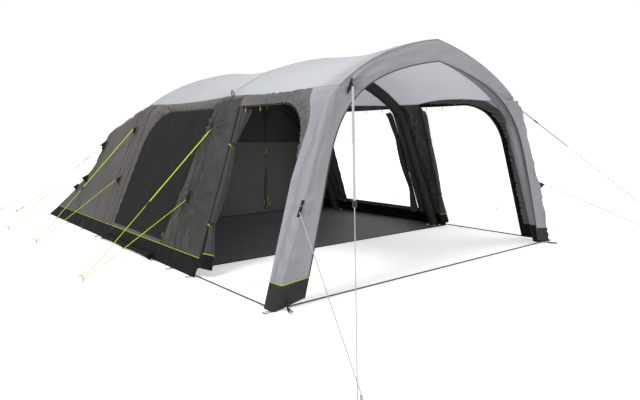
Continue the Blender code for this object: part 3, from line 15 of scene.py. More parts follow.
import bmesh
import bpy
import numpy as np
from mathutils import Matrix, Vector

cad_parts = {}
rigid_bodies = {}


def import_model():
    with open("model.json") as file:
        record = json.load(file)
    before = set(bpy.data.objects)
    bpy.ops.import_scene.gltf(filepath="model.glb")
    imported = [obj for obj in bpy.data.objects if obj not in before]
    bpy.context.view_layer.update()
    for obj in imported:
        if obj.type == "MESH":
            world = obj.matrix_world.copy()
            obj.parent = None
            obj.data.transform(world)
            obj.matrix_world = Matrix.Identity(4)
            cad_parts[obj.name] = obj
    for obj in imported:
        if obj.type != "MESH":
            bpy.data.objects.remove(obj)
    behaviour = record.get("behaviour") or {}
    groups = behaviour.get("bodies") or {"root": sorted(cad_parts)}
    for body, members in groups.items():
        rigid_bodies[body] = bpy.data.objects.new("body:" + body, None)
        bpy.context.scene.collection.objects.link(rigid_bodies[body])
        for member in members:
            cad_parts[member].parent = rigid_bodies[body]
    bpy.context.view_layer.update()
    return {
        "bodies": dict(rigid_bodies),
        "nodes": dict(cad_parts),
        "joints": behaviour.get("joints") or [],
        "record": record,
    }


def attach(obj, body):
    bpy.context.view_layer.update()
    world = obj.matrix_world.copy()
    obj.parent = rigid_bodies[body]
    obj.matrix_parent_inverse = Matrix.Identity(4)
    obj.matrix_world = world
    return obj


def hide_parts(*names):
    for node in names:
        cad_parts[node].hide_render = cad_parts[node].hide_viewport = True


log = logging.getLogger("tent_scene")

Points = np.ndarray
Triple = tuple[float, float, float]
Piece = bpy.types.Object
Socket = bpy.types.NodeSocket
MAIN_BODY = "tent"

# Outline of the arches, which every panel follows
LENGTH = 6.17
FOOT_HALF_WIDTH = 1.96
WALL_LEAN = 0.40
APEX_HEIGHT = 2.10
SHOULDER_HEIGHT = 1.49
EAVE_HEIGHT = 1.62
SHOULDER_HANDLE = 0.055
RIDGE_HANDLE = 0.66
RIDGE_SLOPE = 0.15
FLAT_WALL_SHARE = 0.45
EAVE_SAG_SHARE = 0.25
REAR_CREST_BACK = 0.078
REAR_SETBACK = 4.97
REAR_BELLY_POWER = 2.5
GUSSET_HEIGHT = 0.85

# Cloth and the gaps between sewn panels
CLOTH = 0.004
THICKNESS = 0.0022
SEAM_GAP = 0.0006
TOUCH_GAP = 0.0004
STEP = 0.024

# Lines that several panels share
GABLE_SEAM_HEIGHT = 1.50
CUFF_HEIGHT = 0.178
LEG_FOOT_DEPTH = 0.122
LEG_DEPTH = 0.265
LEG_DEPTH_HEIGHT = 0.90
LEG_FLARE_HEIGHT = 1.30
LEG_FLARE = 0.19
CANOPY_CORNER_DROP = 0.45
BAND_FOOT = 0.345
BAND_CORNER = 0.385
DOOR_FOOT = 0.20
DOOR_REAR_FOOT = 3.42
DOOR_REAR_LEAN = 0.09
DOOR_CORNER_DROP = 0.44
DOOR_CORNER_REACH = 0.50
FRAME_REAR = 3.50
SKIRT_HEIGHT = 0.16
REAR_SKIRT_HEIGHT = 0.13
BEDROOM_Y = 4.04 - LENGTH / 2
GROUNDSHEET_THICKNESS = 0.004
FLOOR_FRONT = 1.475
ZIP_HALF_SPREAD = 0.72
ZIP_FOOT = 0.06
MESH_ZIP_TOP = 1.33
MESH_ZIP_STEP = 0.020
SLEEVE_RADIUS = 0.066
LINE_DIAMETER = 0.006

# Guylines: high tab, peg, low tab, the share of the high line that is webbing, and the panels of both tabs
GUYLINES = {
    "front_left": ((-1.165, -3.030, 1.600), (-2.385, -4.388, 0.0), (-1.735, -3.095, 0.690), 0.50,
                   "front_gable", "leg_left"),
    "front_right": ((1.365, -2.950, 1.530), (2.667, -4.368, 0.0), (1.780, -3.075, 0.680), 0.10,
                    "leg_right", "leg_right"),
    "middle_left": ((-1.510, -1.420, 1.290), (-2.730, -1.395, 0.0), (-1.800, -1.440, 0.630), 0.53,
                    "pillar_left", "pillar_left"),
    "middle_right": ((1.510, -1.420, 1.290), (3.850, -1.225, 0.0), (1.800, -1.440, 0.630), 0.10,
                     "pillar_right", "pillar_right"),
    "sleeping_left": ((-1.500, 0.620, 1.310), (-2.660, 0.635, 0.0), (-1.745, 0.600, 0.690), 0.55,
                      "sleeping_wall_left", "sleeping_wall_left"),
    "sleeping_right": ((1.500, 0.620, 1.310), (3.950, 1.125, 0.0), (1.745, 0.600, 0.690), 0.10,
                       "sleeping_wall_right", "sleeping_wall_right"),
    "rear_side": ((-1.585, 1.580, 1.105), (-2.740, 1.805, 0.0), (-1.850, 2.080, 0.500), 0.55,
                  "sleeping_wall_left", "sleeping_wall_left"),
    "rear_back": ((-1.580, 1.630, 1.100), (-2.480, 4.025, 0.0), (-1.790, 1.850, 0.640), 0.0,
                  "sleeping_wall_left", "sleeping_wall_left"),
    "rear_storm": ((-1.580, 1.605, 1.060), (-2.330, 3.605, 0.0), (-1.790, 1.810, 0.620), 0.0,
                   "sleeping_wall_left", "sleeping_wall_left"),
}
UP = np.array([0.0, 0.0, 1.0])


class Slot(str, Enum):
    """Material slots of the record."""

    ROOF = "roof_cloth"
    GABLE = "gable_cloth"
    WALL = "wall_cloth"
    BAND = "band_cloth"
    SKIRT = "skirt_cloth"
    FLOOR = "floor_cloth"
    MESH = "mesh_cloth"
    INNER = "inner_cloth"
    SLEEVE = "sleeve_cloth"
    TUBE = "tube_film"
    PLASTIC = "black_plastic"
    LIME = "lime_line"
    GREY = "grey_line"
    DARK = "dark_line"


class Side(IntEnum):
    """The two long sides of the tent, as the sign of X."""

    LEFT = -1
    RIGHT = 1

    @property
    def word(self) -> str:
        """The side's name within the names of pieces."""
        return self.name.lower()

    @property
    def normal(self) -> Points:
        """Unit normal of the leaning side wall, pointing out."""
        return unit((float(self), 0.0, WALL_LEAN))


class Edge(Enum):
    """The four borders of a built sheet's grid."""

    LOW = "low"
    HIGH = "high"
    FIRST = "first"
    LAST = "last"


LINE_SLOTS = {"front_left": Slot.GREY, "front_right": Slot.DARK, "rear_storm": Slot.DARK}


def from_front(setback: float | Points) -> float | Points:
    """Y of a place given by its setback from the front edge."""
    return setback - LENGTH / 2


def unit(vector: Sequence[float]) -> Points:
    """The vector at length one."""
    vector = np.asarray(vector, float)
    return vector / np.maximum(np.linalg.norm(vector, axis=-1, keepdims=True), 1e-12)


def smooth(value: Points) -> Points:
    """Ease from 0 to 1 over that same range."""
    value = np.clip(value, 0.0, 1.0)
    return value * value * (3 - 2 * value)


def xyz(x: Points, y: Points, z: Points) -> Points:
    """Points from their coordinates, spread over one shape."""
    return np.stack(np.broadcast_arrays(x, y, z), axis=-1)


def tangents(path: Points) -> Points:
    """Directions of a line at its points."""
    steps = unit(np.diff(path, axis=0))
    return unit(np.concatenate([steps[:1], steps[:-1] + steps[1:], steps[-1:]]))


def mirrored(half: Points) -> Points:
    """Places from -1 to 1 across the tent, from the shares of one half outline up to 1."""
    return np.concatenate([half - 1, (1 - half)[::-1][1:]])


def ruled(first: Points, last: Points, rows: int) -> Points:
    """Grid of straight lines from one border to the other.

    Args:
        first: Points of the first row.
        last: Points of the last row, matched with them.
        rows: Number of rows.

    Returns:
        The grid.
    """
    mix = np.linspace(0, 1, rows)[:, None, None]
    return first * (1 - mix) + last * mix


@dataclass(frozen=True)
class Arch:
    """A peaked line over the tent: a straight leaning leg, then one Bezier curve up to the ridge."""

    foot_y: float
    lean: float
    shoulder: float
    apex: float
    power: float = 1.0
    half_width: float = FOOT_HALF_WIDTH
    wall_lean: float = WALL_LEAN
    first_handle: float = SHOULDER_HANDLE
    ridge_handle: float = RIDGE_HANDLE

    def outline(self, shares: Points) -> tuple[Points, Points]:
        """Right half of the line, seen from the front.

        Args:
            shares: 0 at the foot, a half at the shoulder and 1 at the apex.

        Returns:
            Points (x, z) and the unit normals that point out of the arch.
        """
        shares = np.asarray(shares, float)
        base = np.array([self.half_width, 0.0])
        bend = np.array([self.half_width - self.wall_lean * self.shoulder, self.shoulder])
        ridge = np.array([0.0, self.apex])
        up = np.array([-self.wall_lean, 1.0]) / math.hypot(self.wall_lean, 1.0)
        first = bend + up * self.first_handle * bend[0]
        second = ridge + np.array([1.0, -RIDGE_SLOPE]) * self.ridge_handle * bend[0]
        leg = np.clip(2 * shares, 0, 1)[..., None]
        t = np.clip(2 * shares - 1, 0, 1)[..., None]
        curve = (1 - t) ** 3 * bend + 3 * (1 - t) ** 2 * t * first + 3 * (1 - t) * t ** 2 * second + t ** 3 * ridge
        slope = (1 - t) ** 2 * (first - bend) + 2 * (1 - t) * t * (second - first) + t ** 2 * (ridge - second)
        on_leg = (shares <= 0.5)[..., None]
        tangent = unit(np.where(on_leg, up, slope))
        normals = np.stack([tangent[..., 1], -tangent[..., 0]], axis=-1)
        return (np.where(on_leg, base + (bend - base) * leg, curve),
                np.where((shares >= 1)[..., None], np.array([0.0, 1.0]), normals))

    def y_at(self, height: Points) -> Points:
        """Y of the arch line at a height."""
        return self.foot_y + self.lean * (np.maximum(height, 0.0) / self.apex) ** self.power

    def share_at(self, height: Points) -> Points:
        """Share of the half outline at which the line reaches a height."""
        table = np.linspace(0, 1, 401)
        return np.interp(height, self.outline(table)[0][:, 1], table)

    def points(self, across: Points, inset: float = 0.0) -> Points:
        """World points on the line.

        Args:
            across: From -1 at the left foot to 1 at the right foot.
            inset: Distance below the line.

        Returns:
            One point for each value.
        """
        across = np.asarray(across, float)
        flat, normal = self.outline(1 - np.abs(across))
        flat = flat - normal * inset
        side = np.where(across < 0, -1.0, 1.0)
        return xyz(side * flat[..., 0], self.y_at(flat[..., 1]), flat[..., 1])


@dataclass(frozen=True)
class Bay:
    """The cloth surface between two arches, which sags between them like a saddle."""

    first: Arch
    second: Arch
    sag: float

    def points(self, along: Points, across: Points, inset: float | Points = 0.0) -> Points:
        """World points: a straight line between both outlines, lowered by a parabola that grows to the ridge.

        Args:
            along: From 0 at the first arch to 1 at the second.
            across: From -1 at the left foot to 1 at the right foot.
            inset: Distance below the cloth.

        Returns:
            Points in the shape of the arguments.
        """
        along, across = np.broadcast_arrays(np.asarray(along, float), np.asarray(across, float))
        share = 1 - np.abs(across)
        one, normal_one = self.first.outline(share)
        two, normal_two = self.second.outline(share)
        t = along[..., None]
        normal = unit((1 - t) * normal_one + t * normal_two)
        above = np.clip((share - FLAT_WALL_SHARE) / (EAVE_SHARE - FLAT_WALL_SHARE), 0, 1)
        to_ridge = np.clip((share - EAVE_SHARE) / (1 - EAVE_SHARE), 0, 1)
        weight = above ** 2 * EAVE_SAG_SHARE + (1 - EAVE_SAG_SHARE) * np.sin(to_ridge * math.pi / 2)
        drop = self.sag * 4 * t * (1 - t) * weight[..., None] + np.broadcast_to(inset, along.shape)[..., None]
        flat = (1 - t) * one + t * two - normal * drop
        y = (1 - along) * self.first.y_at(one[..., 1]) + along * self.second.y_at(two[..., 1])
        side = np.where(across < 0, -1.0, 1.0)
        return xyz(side * flat[..., 0], y, flat[..., 1])

    def wall(self, side: Side, y: Points, height: Points, inset: float | Points = 0.0) -> Points:
        """World points on one side wall.

        Args:
            side: Which wall.
            y: Y of the points.
            height: Their heights along the first arch.
            inset: Distance below the cloth.

        Returns:
            Points in the shape of the arguments.
        """
        share = self.first.share_at(height)
        start = self.first.y_at(height)
        along = (np.asarray(y, float) - start) / (self.second.y_at(height) - start)
        return self.points(along, side * (1 - share), inset)

    def y_of(self, along: Points, height: Points) -> Points:
        """Y of a place on a side wall, from its along value and its height."""
        start = self.first.y_at(height)
        return start + along * (self.second.y_at(height) - start)


FRONT = Arch(from_front(0.0), 0.17, SHOULDER_HEIGHT, APEX_HEIGHT, 1.5)
MIDDLE = Arch(from_front(1.62), 0.14, SHOULDER_HEIGHT, APEX_HEIGHT)
SLEEPING = Arch(from_front(3.66), 0.11, SHOULDER_HEIGHT, APEX_HEIGHT)
REAR = Arch(from_front(REAR_SETBACK + REAR_CREST_BACK), -0.46, 1.22, 1.72)
OPENING = Arch(from_front(0.0), 0.0, 0.90, 1.90, 1.0, 1.70, 0.295, 0.35, 0.80)
EAVE_SHARE = float(MIDDLE.share_at(EAVE_HEIGHT))
CANOPY = Bay(FRONT, MIDDLE, 0.045)
LIVING = Bay(MIDDLE, SLEEPING, 0.055)
BEDROOM = Bay(SLEEPING, REAR, 0.045)


@dataclass(frozen=True)
class SideCut:
    """Where one side's openings end, where its pillar stands and how its eave seam dips."""

    top: float
    front_foot: float
    rear_foot: float
    rear_eave: float
    dip: float
    front_eave: float = 1.40

    def pillar_front(self, height: Points) -> Points:
        """Y of the pillar's front edge."""
        return from_front(self.front_foot + (self.front_eave - self.front_foot) * height / EAVE_HEIGHT)

    def pillar_rear(self, height: Points) -> Points:
        """Y of the pillar's rear edge."""
        return from_front(self.rear_foot + (self.rear_eave - self.rear_foot) * height / EAVE_HEIGHT)

    def eave(self, bay: Bay, count: int) -> tuple[Points, Points]:
        """The eave seam over a bay's side opening: a parabola below or above the eave.

        Args:
            bay: The canopy or the living bay.
            count: Number of points.

        Returns:
            Along values and heights.
        """
        ends = ((leg_rear_y(EAVE_HEIGHT), self.pillar_front(EAVE_HEIGHT)) if bay is CANOPY
                else (self.pillar_rear(EAVE_HEIGHT), from_front(FRAME_REAR)))
        start = bay.first.y_at(EAVE_HEIGHT)
        first, last = (float((y - start) / (bay.second.y_at(EAVE_HEIGHT) - start)) for y in ends)
        turn = np.linspace(0, 1, count)
        return first + (last - first) * turn, EAVE_HEIGHT - self.dip * 4 * turn * (1 - turn)


CUTS = {Side.LEFT: SideCut(1.49, 1.20, 2.08, 1.82, 0.015), Side.RIGHT: SideCut(1.585, 1.47, 1.88, 1.93, -0.04)}


def leg_rear_y(height: Points) -> Points:
    """Y of the rear edge of a front leg's side face: a taper, then a flare into the roof.

    Args:
        height: Heights on that edge.

    Returns:
        Y for each height.
    """
    rise = np.clip(height / LEG_DEPTH_HEIGHT, 0, 1)
    flare = np.clip((height - LEG_FLARE_HEIGHT) / (EAVE_HEIGHT - LEG_FLARE_HEIGHT), 0, 1)
    return from_front(LEG_FOOT_DEPTH + (LEG_DEPTH - LEG_FOOT_DEPTH) * rise + LEG_FLARE * flare ** 2)


def right_band_y(height: Points) -> Points:
    """Y of the rear edge of the right band where it runs down beside the leg."""
    corner = CUTS[Side.RIGHT].top - CANOPY_CORNER_DROP
    return from_front(BAND_FOOT + (BAND_CORNER - BAND_FOOT) * height / corner)


def door_rear_y(height: Points, top: float) -> Points:
    """Y of the rear edge of a living door: a leaning line, then a quarter ellipse at the top corner.

    Args:
        height: Heights on that edge.
        top: Height of the door's top.

    Returns:
        Y for each height.
    """
    straight = DOOR_REAR_FOOT - DOOR_REAR_LEAN * height / SHOULDER_HEIGHT
    rise = np.clip((height - (top - DOOR_CORNER_DROP)) / DOOR_CORNER_DROP, 0, 1)
    return from_front(straight - DOOR_CORNER_REACH * (1 - np.sqrt(1 - rise ** 2)))


def rear_edge_y(height: Points) -> Points:
    """Y of the rear edge of the sleeping wall, which runs on to the rear corner."""
    full = LENGTH - REAR_SETBACK - REAR_CREST_BACK
    return REAR.y_at(height) + full * np.clip(1 - height / GUSSET_HEIGHT, 0, 1) ** 1.4


def wall_x(height: Points) -> Points:
    """Distance of the outer face of the side walls from the centre line."""
    return FOOT_HALF_WIDTH - WALL_LEAN * height


class Relief:
    """Folds and creases of cloth as distances along its normals, from seeded sums of waves."""

    def __init__(self, seed: int) -> None:
        """Seed the waves, so that every run gives the same folds."""
        self.rng = np.random.default_rng(seed)

    def waves(self, points: Points, length: float, count: int = 7) -> Points:
        """Smooth hills and hollows: a sum of sines along random directions.

        Args:
            points: Where to find them.
            length: About the distance between two hills.
            count: Number of sines.

        Returns:
            Values between 0 and 1.
        """
        ways = unit(self.rng.normal(size=(count, 3)))
        ways = ways * 2 * math.pi / (length * self.rng.uniform(0.7, 1.5, (count, 1)))
        total = np.sin(points @ ways.T + self.rng.uniform(0, 2 * math.pi, count)).sum(axis=-1)
        return np.clip(0.5 + total / (2.2 * math.sqrt(count)), 0, 1)

    def creases(self, points: Points, length: float, way: Sequence[float], stretch: float = 4.0,
                sharp: float = 0.75) -> Points:
        """Ridges along a direction: hills of points squeezed along it, folded over at their middle.

        Args:
            points: Where to find them.
            length: About the distance between two ridges.
            way: Direction that the ridges follow.
            stretch: How many times longer than wide they are.
            sharp: Power of the fold, lower for a sharper ridge.

        Returns:
            Values between 0 and 1.
        """
        way = unit(way)
        run = (points @ way)[..., None] * way
        hills = self.waves(points - run + run / stretch, length, 9)
        return 1 - np.abs(2 * hills - 1) ** sharp

    def fan(self, points: Points, anchor: Sequence[float], reach: float, count: float,
            plane: tuple[int, int] = (0, 2)) -> Points:
        """Pleats that spread from an anchor: folded sines of the angle round it, fading with distance.

        Args:
            points: Where to find them.
            anchor: The pulled place.
            reach: Distance over which the pleats die out.
            count: Number of pleats round the anchor.
            plane: The two axes in which the angle is measured.

        Returns:
            Values between 0 and 1.
        """
        step = points - np.asarray(anchor, float)
        angle = np.arctan2(step[..., plane[1]], step[..., plane[0]])
        away = np.linalg.norm(step, axis=-1)
        wobble = self.rng.uniform(0.2, 0.5) * np.sin(3 * angle + self.rng.uniform(0, 6))
        ridges = 1 - np.abs(np.sin(count * angle / 2 + wobble)) ** 0.6
        return ridges * np.exp(-(away / reach) ** 2) * smooth(away / (0.18 * reach))

    def gathers(self, along: Points, pitch: float) -> Points:
        """Close uneven ridges across a gathered edge: folded sines of a place with a slow drift.

        Args:
            along: Place along the edge.
            pitch: Distance between two ridges.

        Returns:
            Values between 0 and 1.
        """
        size, rate, start = self.rng.uniform([[0.3], [0.3], [0.0]], [[0.8], [0.9], [6.0]], (3, 4))
        drift = (size * np.sin(along[..., None] / pitch * rate + start)).sum(axis=-1)
        return 1 - np.abs(np.sin(math.pi * along / pitch + drift)) ** 0.7


def arc(grid: Points, axis: int) -> Points:
    """Length run along one axis of a grid of points.

    Args:
        grid: The points.
        axis: The axis.

    Returns:
        One length for each point.
    """
    steps = np.linalg.norm(np.diff(grid, axis=axis), axis=-1)
    start = np.zeros_like(np.take(steps, [0], axis=axis))
    return np.concatenate([start, np.cumsum(steps, axis=axis)], axis=axis)


def grid_normals(grid: Points, toward: Points) -> Points:
    """Unit normals of a grid of points, turned to the side of a direction."""
    normal = unit(np.cross(np.gradient(grid, axis=0), np.gradient(grid, axis=1)))
    return -normal if (normal * toward).sum(axis=-1).mean() < 0 else normal


def border(grid: Points, width: float) -> Points:
    """Weight of each point of a grid, from its distance to the nearest edge.

    Args:
        grid: The points.
        width: Distance at which the weight has grown from 0 to 1.

    Returns:
        One weight for each point.
    """
    rows, columns = arc(grid, 0), arc(grid, 1)
    near = np.minimum(np.minimum(rows, rows[-1:] - rows), np.minimum(columns, columns[:, -1:] - columns))
    return smooth(near / width)


def steps_of(length: float, step: float = STEP) -> int:
    """Number of grid points along a length."""
    return max(3, int(round(length / step)) + 1)


class Builder:
    """Collects points, faces and texture places, and turns them into one mesh object."""

    LEAST_SIDE = 0.2
    SPARE_LEVEL = (0.83, 0.55, 0.09)

    def __init__(self) -> None:
        """Start empty."""
        self.verts: list[Points] = []
        self.faces: list[Points] = []
        self.places: list[Points] = []
        self.marks: list[int] = []
        self.count = 0

    def add(self, verts: Points, faces: Points, places: Points | None = None, mark: int = 0) -> None:
        """Add points with faces of one size.

        Args:
            verts: The points.
            faces: Rows of indices into them.
            places: One pair of texture places for each point.
            mark: Index of the material.
        """
        verts = np.asarray(verts, float).reshape(-1, 3)
        self.verts.append(verts)
        self.faces.append(np.asarray(faces, int) + self.count)
        self.places.append(verts[:, :2] if places is None else np.asarray(places, float).reshape(-1, 2))
        self.marks.append(mark)
        self.count += len(verts)

    def tube(self, path: Points, radius: float | Points, sides: int = 8, mark: int = 0, flat: float = 1.0,
             level: Sequence[float] = (0.0, 0.0, 1.0)) -> None:
        """Add a closed round or flattened bar: an ellipse carried along a line.

        Args:
            path: The centre line.
            radius: One radius, or one for each point.
            sides: Points round the bar.
            mark: Index of its material.
            flat: Thickness as a share of the width.
            level: Direction of the thin side, one or one for each point.
        """
        path = np.asarray(path, float)
        way = tangents(path)
        side = np.cross(way, np.broadcast_to(np.asarray(level, float), way.shape))
        if np.linalg.norm(side, axis=1).min() < self.LEAST_SIDE:
            side = np.cross(way, self.SPARE_LEVEL)
        side = unit(side)[:, None]
        up = np.cross(way[:, None], side)
        turn = np.linspace(0, 2 * math.pi, sides, endpoint=False)[None, :, None]
        size = np.broadcast_to(np.asarray(radius, float), (len(path),))[:, None, None]
        self.rings(path[:, None] + size * (np.cos(turn) * side + flat * np.sin(turn) * up), mark)

    def rings(self, rings: Points, mark: int = 0) -> None:
        """Add a stack of rings, closed at both ends with fans.

        Args:
            rings: The rings, one row of points each.
            mark: Index of their material.
        """
        count, sides = rings.shape[:2]
        j = np.arange(sides)
        k = (j + 1) % sides
        row = np.arange(count - 1)[:, None] * sides
        quads = np.stack([row + j, row + k, row + sides + k, row + sides + j], -1)
        along = arc(rings, 0)
        wide = np.linalg.norm(rings[:, 0] - rings[:, sides // 2], axis=-1).mean() * 3
        round_it = np.broadcast_to(np.linspace(0, 1, sides, endpoint=False) * wide, along.shape)
        places = np.concatenate([np.stack([round_it, along], -1).reshape(-1, 2), [[0, 0], [0, 0]]])
        verts = np.concatenate([rings.reshape(-1, 3), rings[[0, -1]].mean(axis=1)])
        base, last = self.count, (count - 1) * sides
        self.add(verts, quads.reshape(-1, 4), places, mark)
        for fan in ((np.full(sides, count * sides), k, j), (np.full(sides, count * sides + 1), last + j, last + k)):
            self.faces.append(np.stack(fan, -1) + base)
        self.marks += [mark, mark]

    def sheet(self, outer: Points, inner: Points, keep: Points | None = None) -> None:
        """Add the closed space between two grids, without the cells that are cut out.

        Args:
            outer: Grid of the outer face.
            inner: Grid of the inner face.
            keep: Whether each cell of the grids stays, or none where all of them do.
        """
        keep = np.ones((len(outer) - 1, outer.shape[1] - 1), bool) if keep is None else keep
        back = outer.shape[0] * outer.shape[1]
        at = np.arange(back).reshape(outer.shape[:2])
        cell = np.stack([at[:-1, :-1], at[1:, :-1], at[1:, 1:], at[:-1, 1:]], -1)
        faces = [cell[keep], cell[keep][:, [0, 3, 2, 1]] + back]
        padded = np.pad(keep, 1)
        for beside, first, last in ((padded[1:-1, :-2], 0, 1), (padded[1:-1, 2:], 2, 3), (padded[:-2, 1:-1], 3, 0),
                                    (padded[2:, 1:-1], 1, 2)):
            rim = cell[keep & ~beside]
            faces.append(np.stack([rim[:, last], rim[:, first], rim[:, first] + back, rim[:, last] + back], -1))
        used, faces = np.unique(np.concatenate(faces), return_inverse=True)
        place = np.tile(np.stack([arc(outer, 1), arc(outer, 0)], -1).reshape(-1, 2), (2, 1))
        verts = np.concatenate([outer.reshape(-1, 3), inner.reshape(-1, 3)])
        self.add(verts[used], faces.reshape(-1, 4), place[used])

    def block(self, centre: Points, along: Points, across: Points, size: Sequence[float], mark: int = 0,
              bevel: float = 0.25) -> None:
        """Add a small block with cut corners: an eight-sided outline carried over four stations.

        Args:
            centre: Its middle.
            along: Direction of the first size.
            across: Direction of the second size.
            size: Three sizes.
            mark: Index of its material.
            bevel: Cut of the corners as a share of half the smaller side.
        """
        along, across = unit(along), unit(across)
        up = np.cross(along, across)
        half = np.asarray(size, float) / 2
        cut = min(half[1], half[2]) * bevel
        shape = np.array([(-1, -1, 1, 0), (-1, -1, 0, 1), (-1, 1, 0, -1), (-1, 1, 1, 0), (1, 1, -1, 0),
                          (1, 1, 0, -1), (1, -1, 0, 1), (1, -1, -1, 0)], float)
        wide = (shape[:, 0] * half[1] + shape[:, 2] * cut)[None, :, None]
        high = (shape[:, 1] * half[2] + shape[:, 3] * cut)[None, :, None]
        place = np.array([-half[0], cut - half[0], half[0] - cut, half[0]])[:, None, None]
        shrink = np.array([1 - bevel * 0.4, 1.0, 1.0, 1 - bevel * 0.4])[:, None, None]
        self.rings(np.asarray(centre) + along * place + (wide * across + high * up) * shrink, mark)

    def build(self, name: str, finishes: Sequence[Finish], nodes: Sequence[str] = (),
              body: str = MAIN_BODY, angle: float = 50) -> Piece:
        """Make the object, give it its finishes, let it ride a body and hide the nodes that it stands for.

        Args:
            name: Name of the piece.
            finishes: Its materials, in the order of the marks.
            nodes: Nodes of the model that it replaces.
            body: The body that it rides.
            angle: Steepest bend in degrees that is shaded smooth.

        Returns:
            The new object.
        """
        mesh = bpy.data.meshes.new(name)
        verts, places = np.concatenate(self.verts), np.concatenate(self.places)
        faces = [face for block in self.faces for face in block.tolist()]
        marks = np.concatenate([np.full(len(block), mark) for block, mark in zip(self.faces, self.marks)])
        mesh.from_pydata(verts.tolist(), [], faces)
        outward = bmesh.new()
        outward.from_mesh(mesh)
        bmesh.ops.recalc_face_normals(outward, faces=outward.faces)
        outward.to_mesh(mesh)
        outward.free()
        loops = np.empty(len(mesh.loops), dtype=np.int32)
        mesh.loops.foreach_get("vertex_index", loops)
        mesh.uv_layers.new(name="UVMap").data.foreach_set("uv", places[loops].astype(np.float32).ravel())
        for finish in finishes:
            mesh.materials.append(finish.make())
        mesh.polygons.foreach_set("material_index", marks.astype(np.int32))
        mesh.validate(clean_customdata=False)
        mesh.update()
        mesh.shade_smooth()
        mesh.set_sharp_from_angle(angle=math.radians(angle))
        return dress(bpy.data.objects.new(name, mesh), nodes, body)


def dress(piece: Piece, nodes: Sequence[str] = (), body: str = MAIN_BODY) -> Piece:
    """Add a piece to the scene, let it ride a body and hide the nodes that it stands for.

    Args:
        piece: The new object.
        nodes: Nodes of the model that it replaces.
        body: The body that it rides.

    Returns:
        The same object.
    """
    bpy.context.scene.collection.objects.link(piece)
    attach(piece, body)
    if nodes:
        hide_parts(*nodes)
    log.info("built %s on %s, for %s", piece.name, body, ", ".join(nodes) or "no node")
    return piece




class Weave(Enum):
    """Kinds of cloth surface: thread pitch in metres and bump strength."""

    CANVAS = (0.0011, 0.08)
    RIPSTOP = (0.0022, 0.10)
    COATED = (0.0030, 0.05)
    NETTING = (0.0018, 0.02)
    WEBBING = (0.0016, 0.60)
    CORD = (0.0030, 0.70)


class Nodes:
    """A material's node tree with short ways to add and join nodes."""

    def __init__(self, material: bpy.types.Material) -> None:
        """Keep the tree and its texture places."""
        self.tree = material.node_tree
        self.place = self.add("ShaderNodeTexCoord")

    def add(self, kind: str, **values: float | tuple) -> bpy.types.Node:
        """Add a node and set its inputs.

        Args:
            kind: Kind of node.
            values: Value for each input, with underscores for the spaces in its name.

        Returns:
            The node.
        """
        node = self.tree.nodes.new(kind)
        for name, value in values.items():
            node.inputs[name.replace("_", " ")].default_value = value
        return node

    def join(self, start: Socket, end: Socket) -> None:
        """Link an output to an input."""
        self.tree.links.new(start, end)

    def noise(self, scale: float, detail: float = 2.0, twist: float = 0.0, tall: float = 1.0) -> Socket:
        """A noise on the object's own places.

        Args:
            scale: Number of spots in a metre.
            detail: Number of finer noises on it.
            twist: How much it is distorted.
            tall: How many times it is drawn out along Z.

        Returns:
            The noise value.
        """
        node = self.add("ShaderNodeTexNoise", Scale=scale, Detail=detail, Distortion=twist)
        draw = self.add("ShaderNodeVectorMath")
        draw.operation = "MULTIPLY"
        draw.inputs[1].default_value = (1.0, 1.0, 1.0 / tall)
        self.join(self.place.outputs["Object"], draw.inputs[0])
        self.join(draw.outputs["Vector"], node.inputs["Vector"])
        return node.outputs["Fac"]

    def maths(self, kind: str, first: Socket, second: Socket | float) -> Socket:
        """One calculation.

        Args:
            kind: The operation.
            first: The first value.
            second: The second value, or a number.

        Returns:
            The result.
        """
        node = self.add("ShaderNodeMath")
        node.operation = kind
        self.join(first, node.inputs[0])
        if isinstance(second, float):
            node.inputs[1].default_value = second
        else:
            self.join(second, node.inputs[1])
        return node.outputs["Value"]

    def bump(self, height: Socket, strength: float, distance: float, normal: Socket | None) -> Socket:
        """A bump over an earlier normal.

        Args:
            height: Height of the surface.
            strength: Strength of the bump.
            distance: Its depth in metres.
            normal: The earlier normal, if any.

        Returns:
            The new normal.
        """
        node = self.add("ShaderNodeBump", Strength=strength, Distance=distance)
        self.join(height, node.inputs["Height"])
        if normal is not None:
            self.join(normal, node.inputs["Normal"])
        return node.outputs["Normal"]


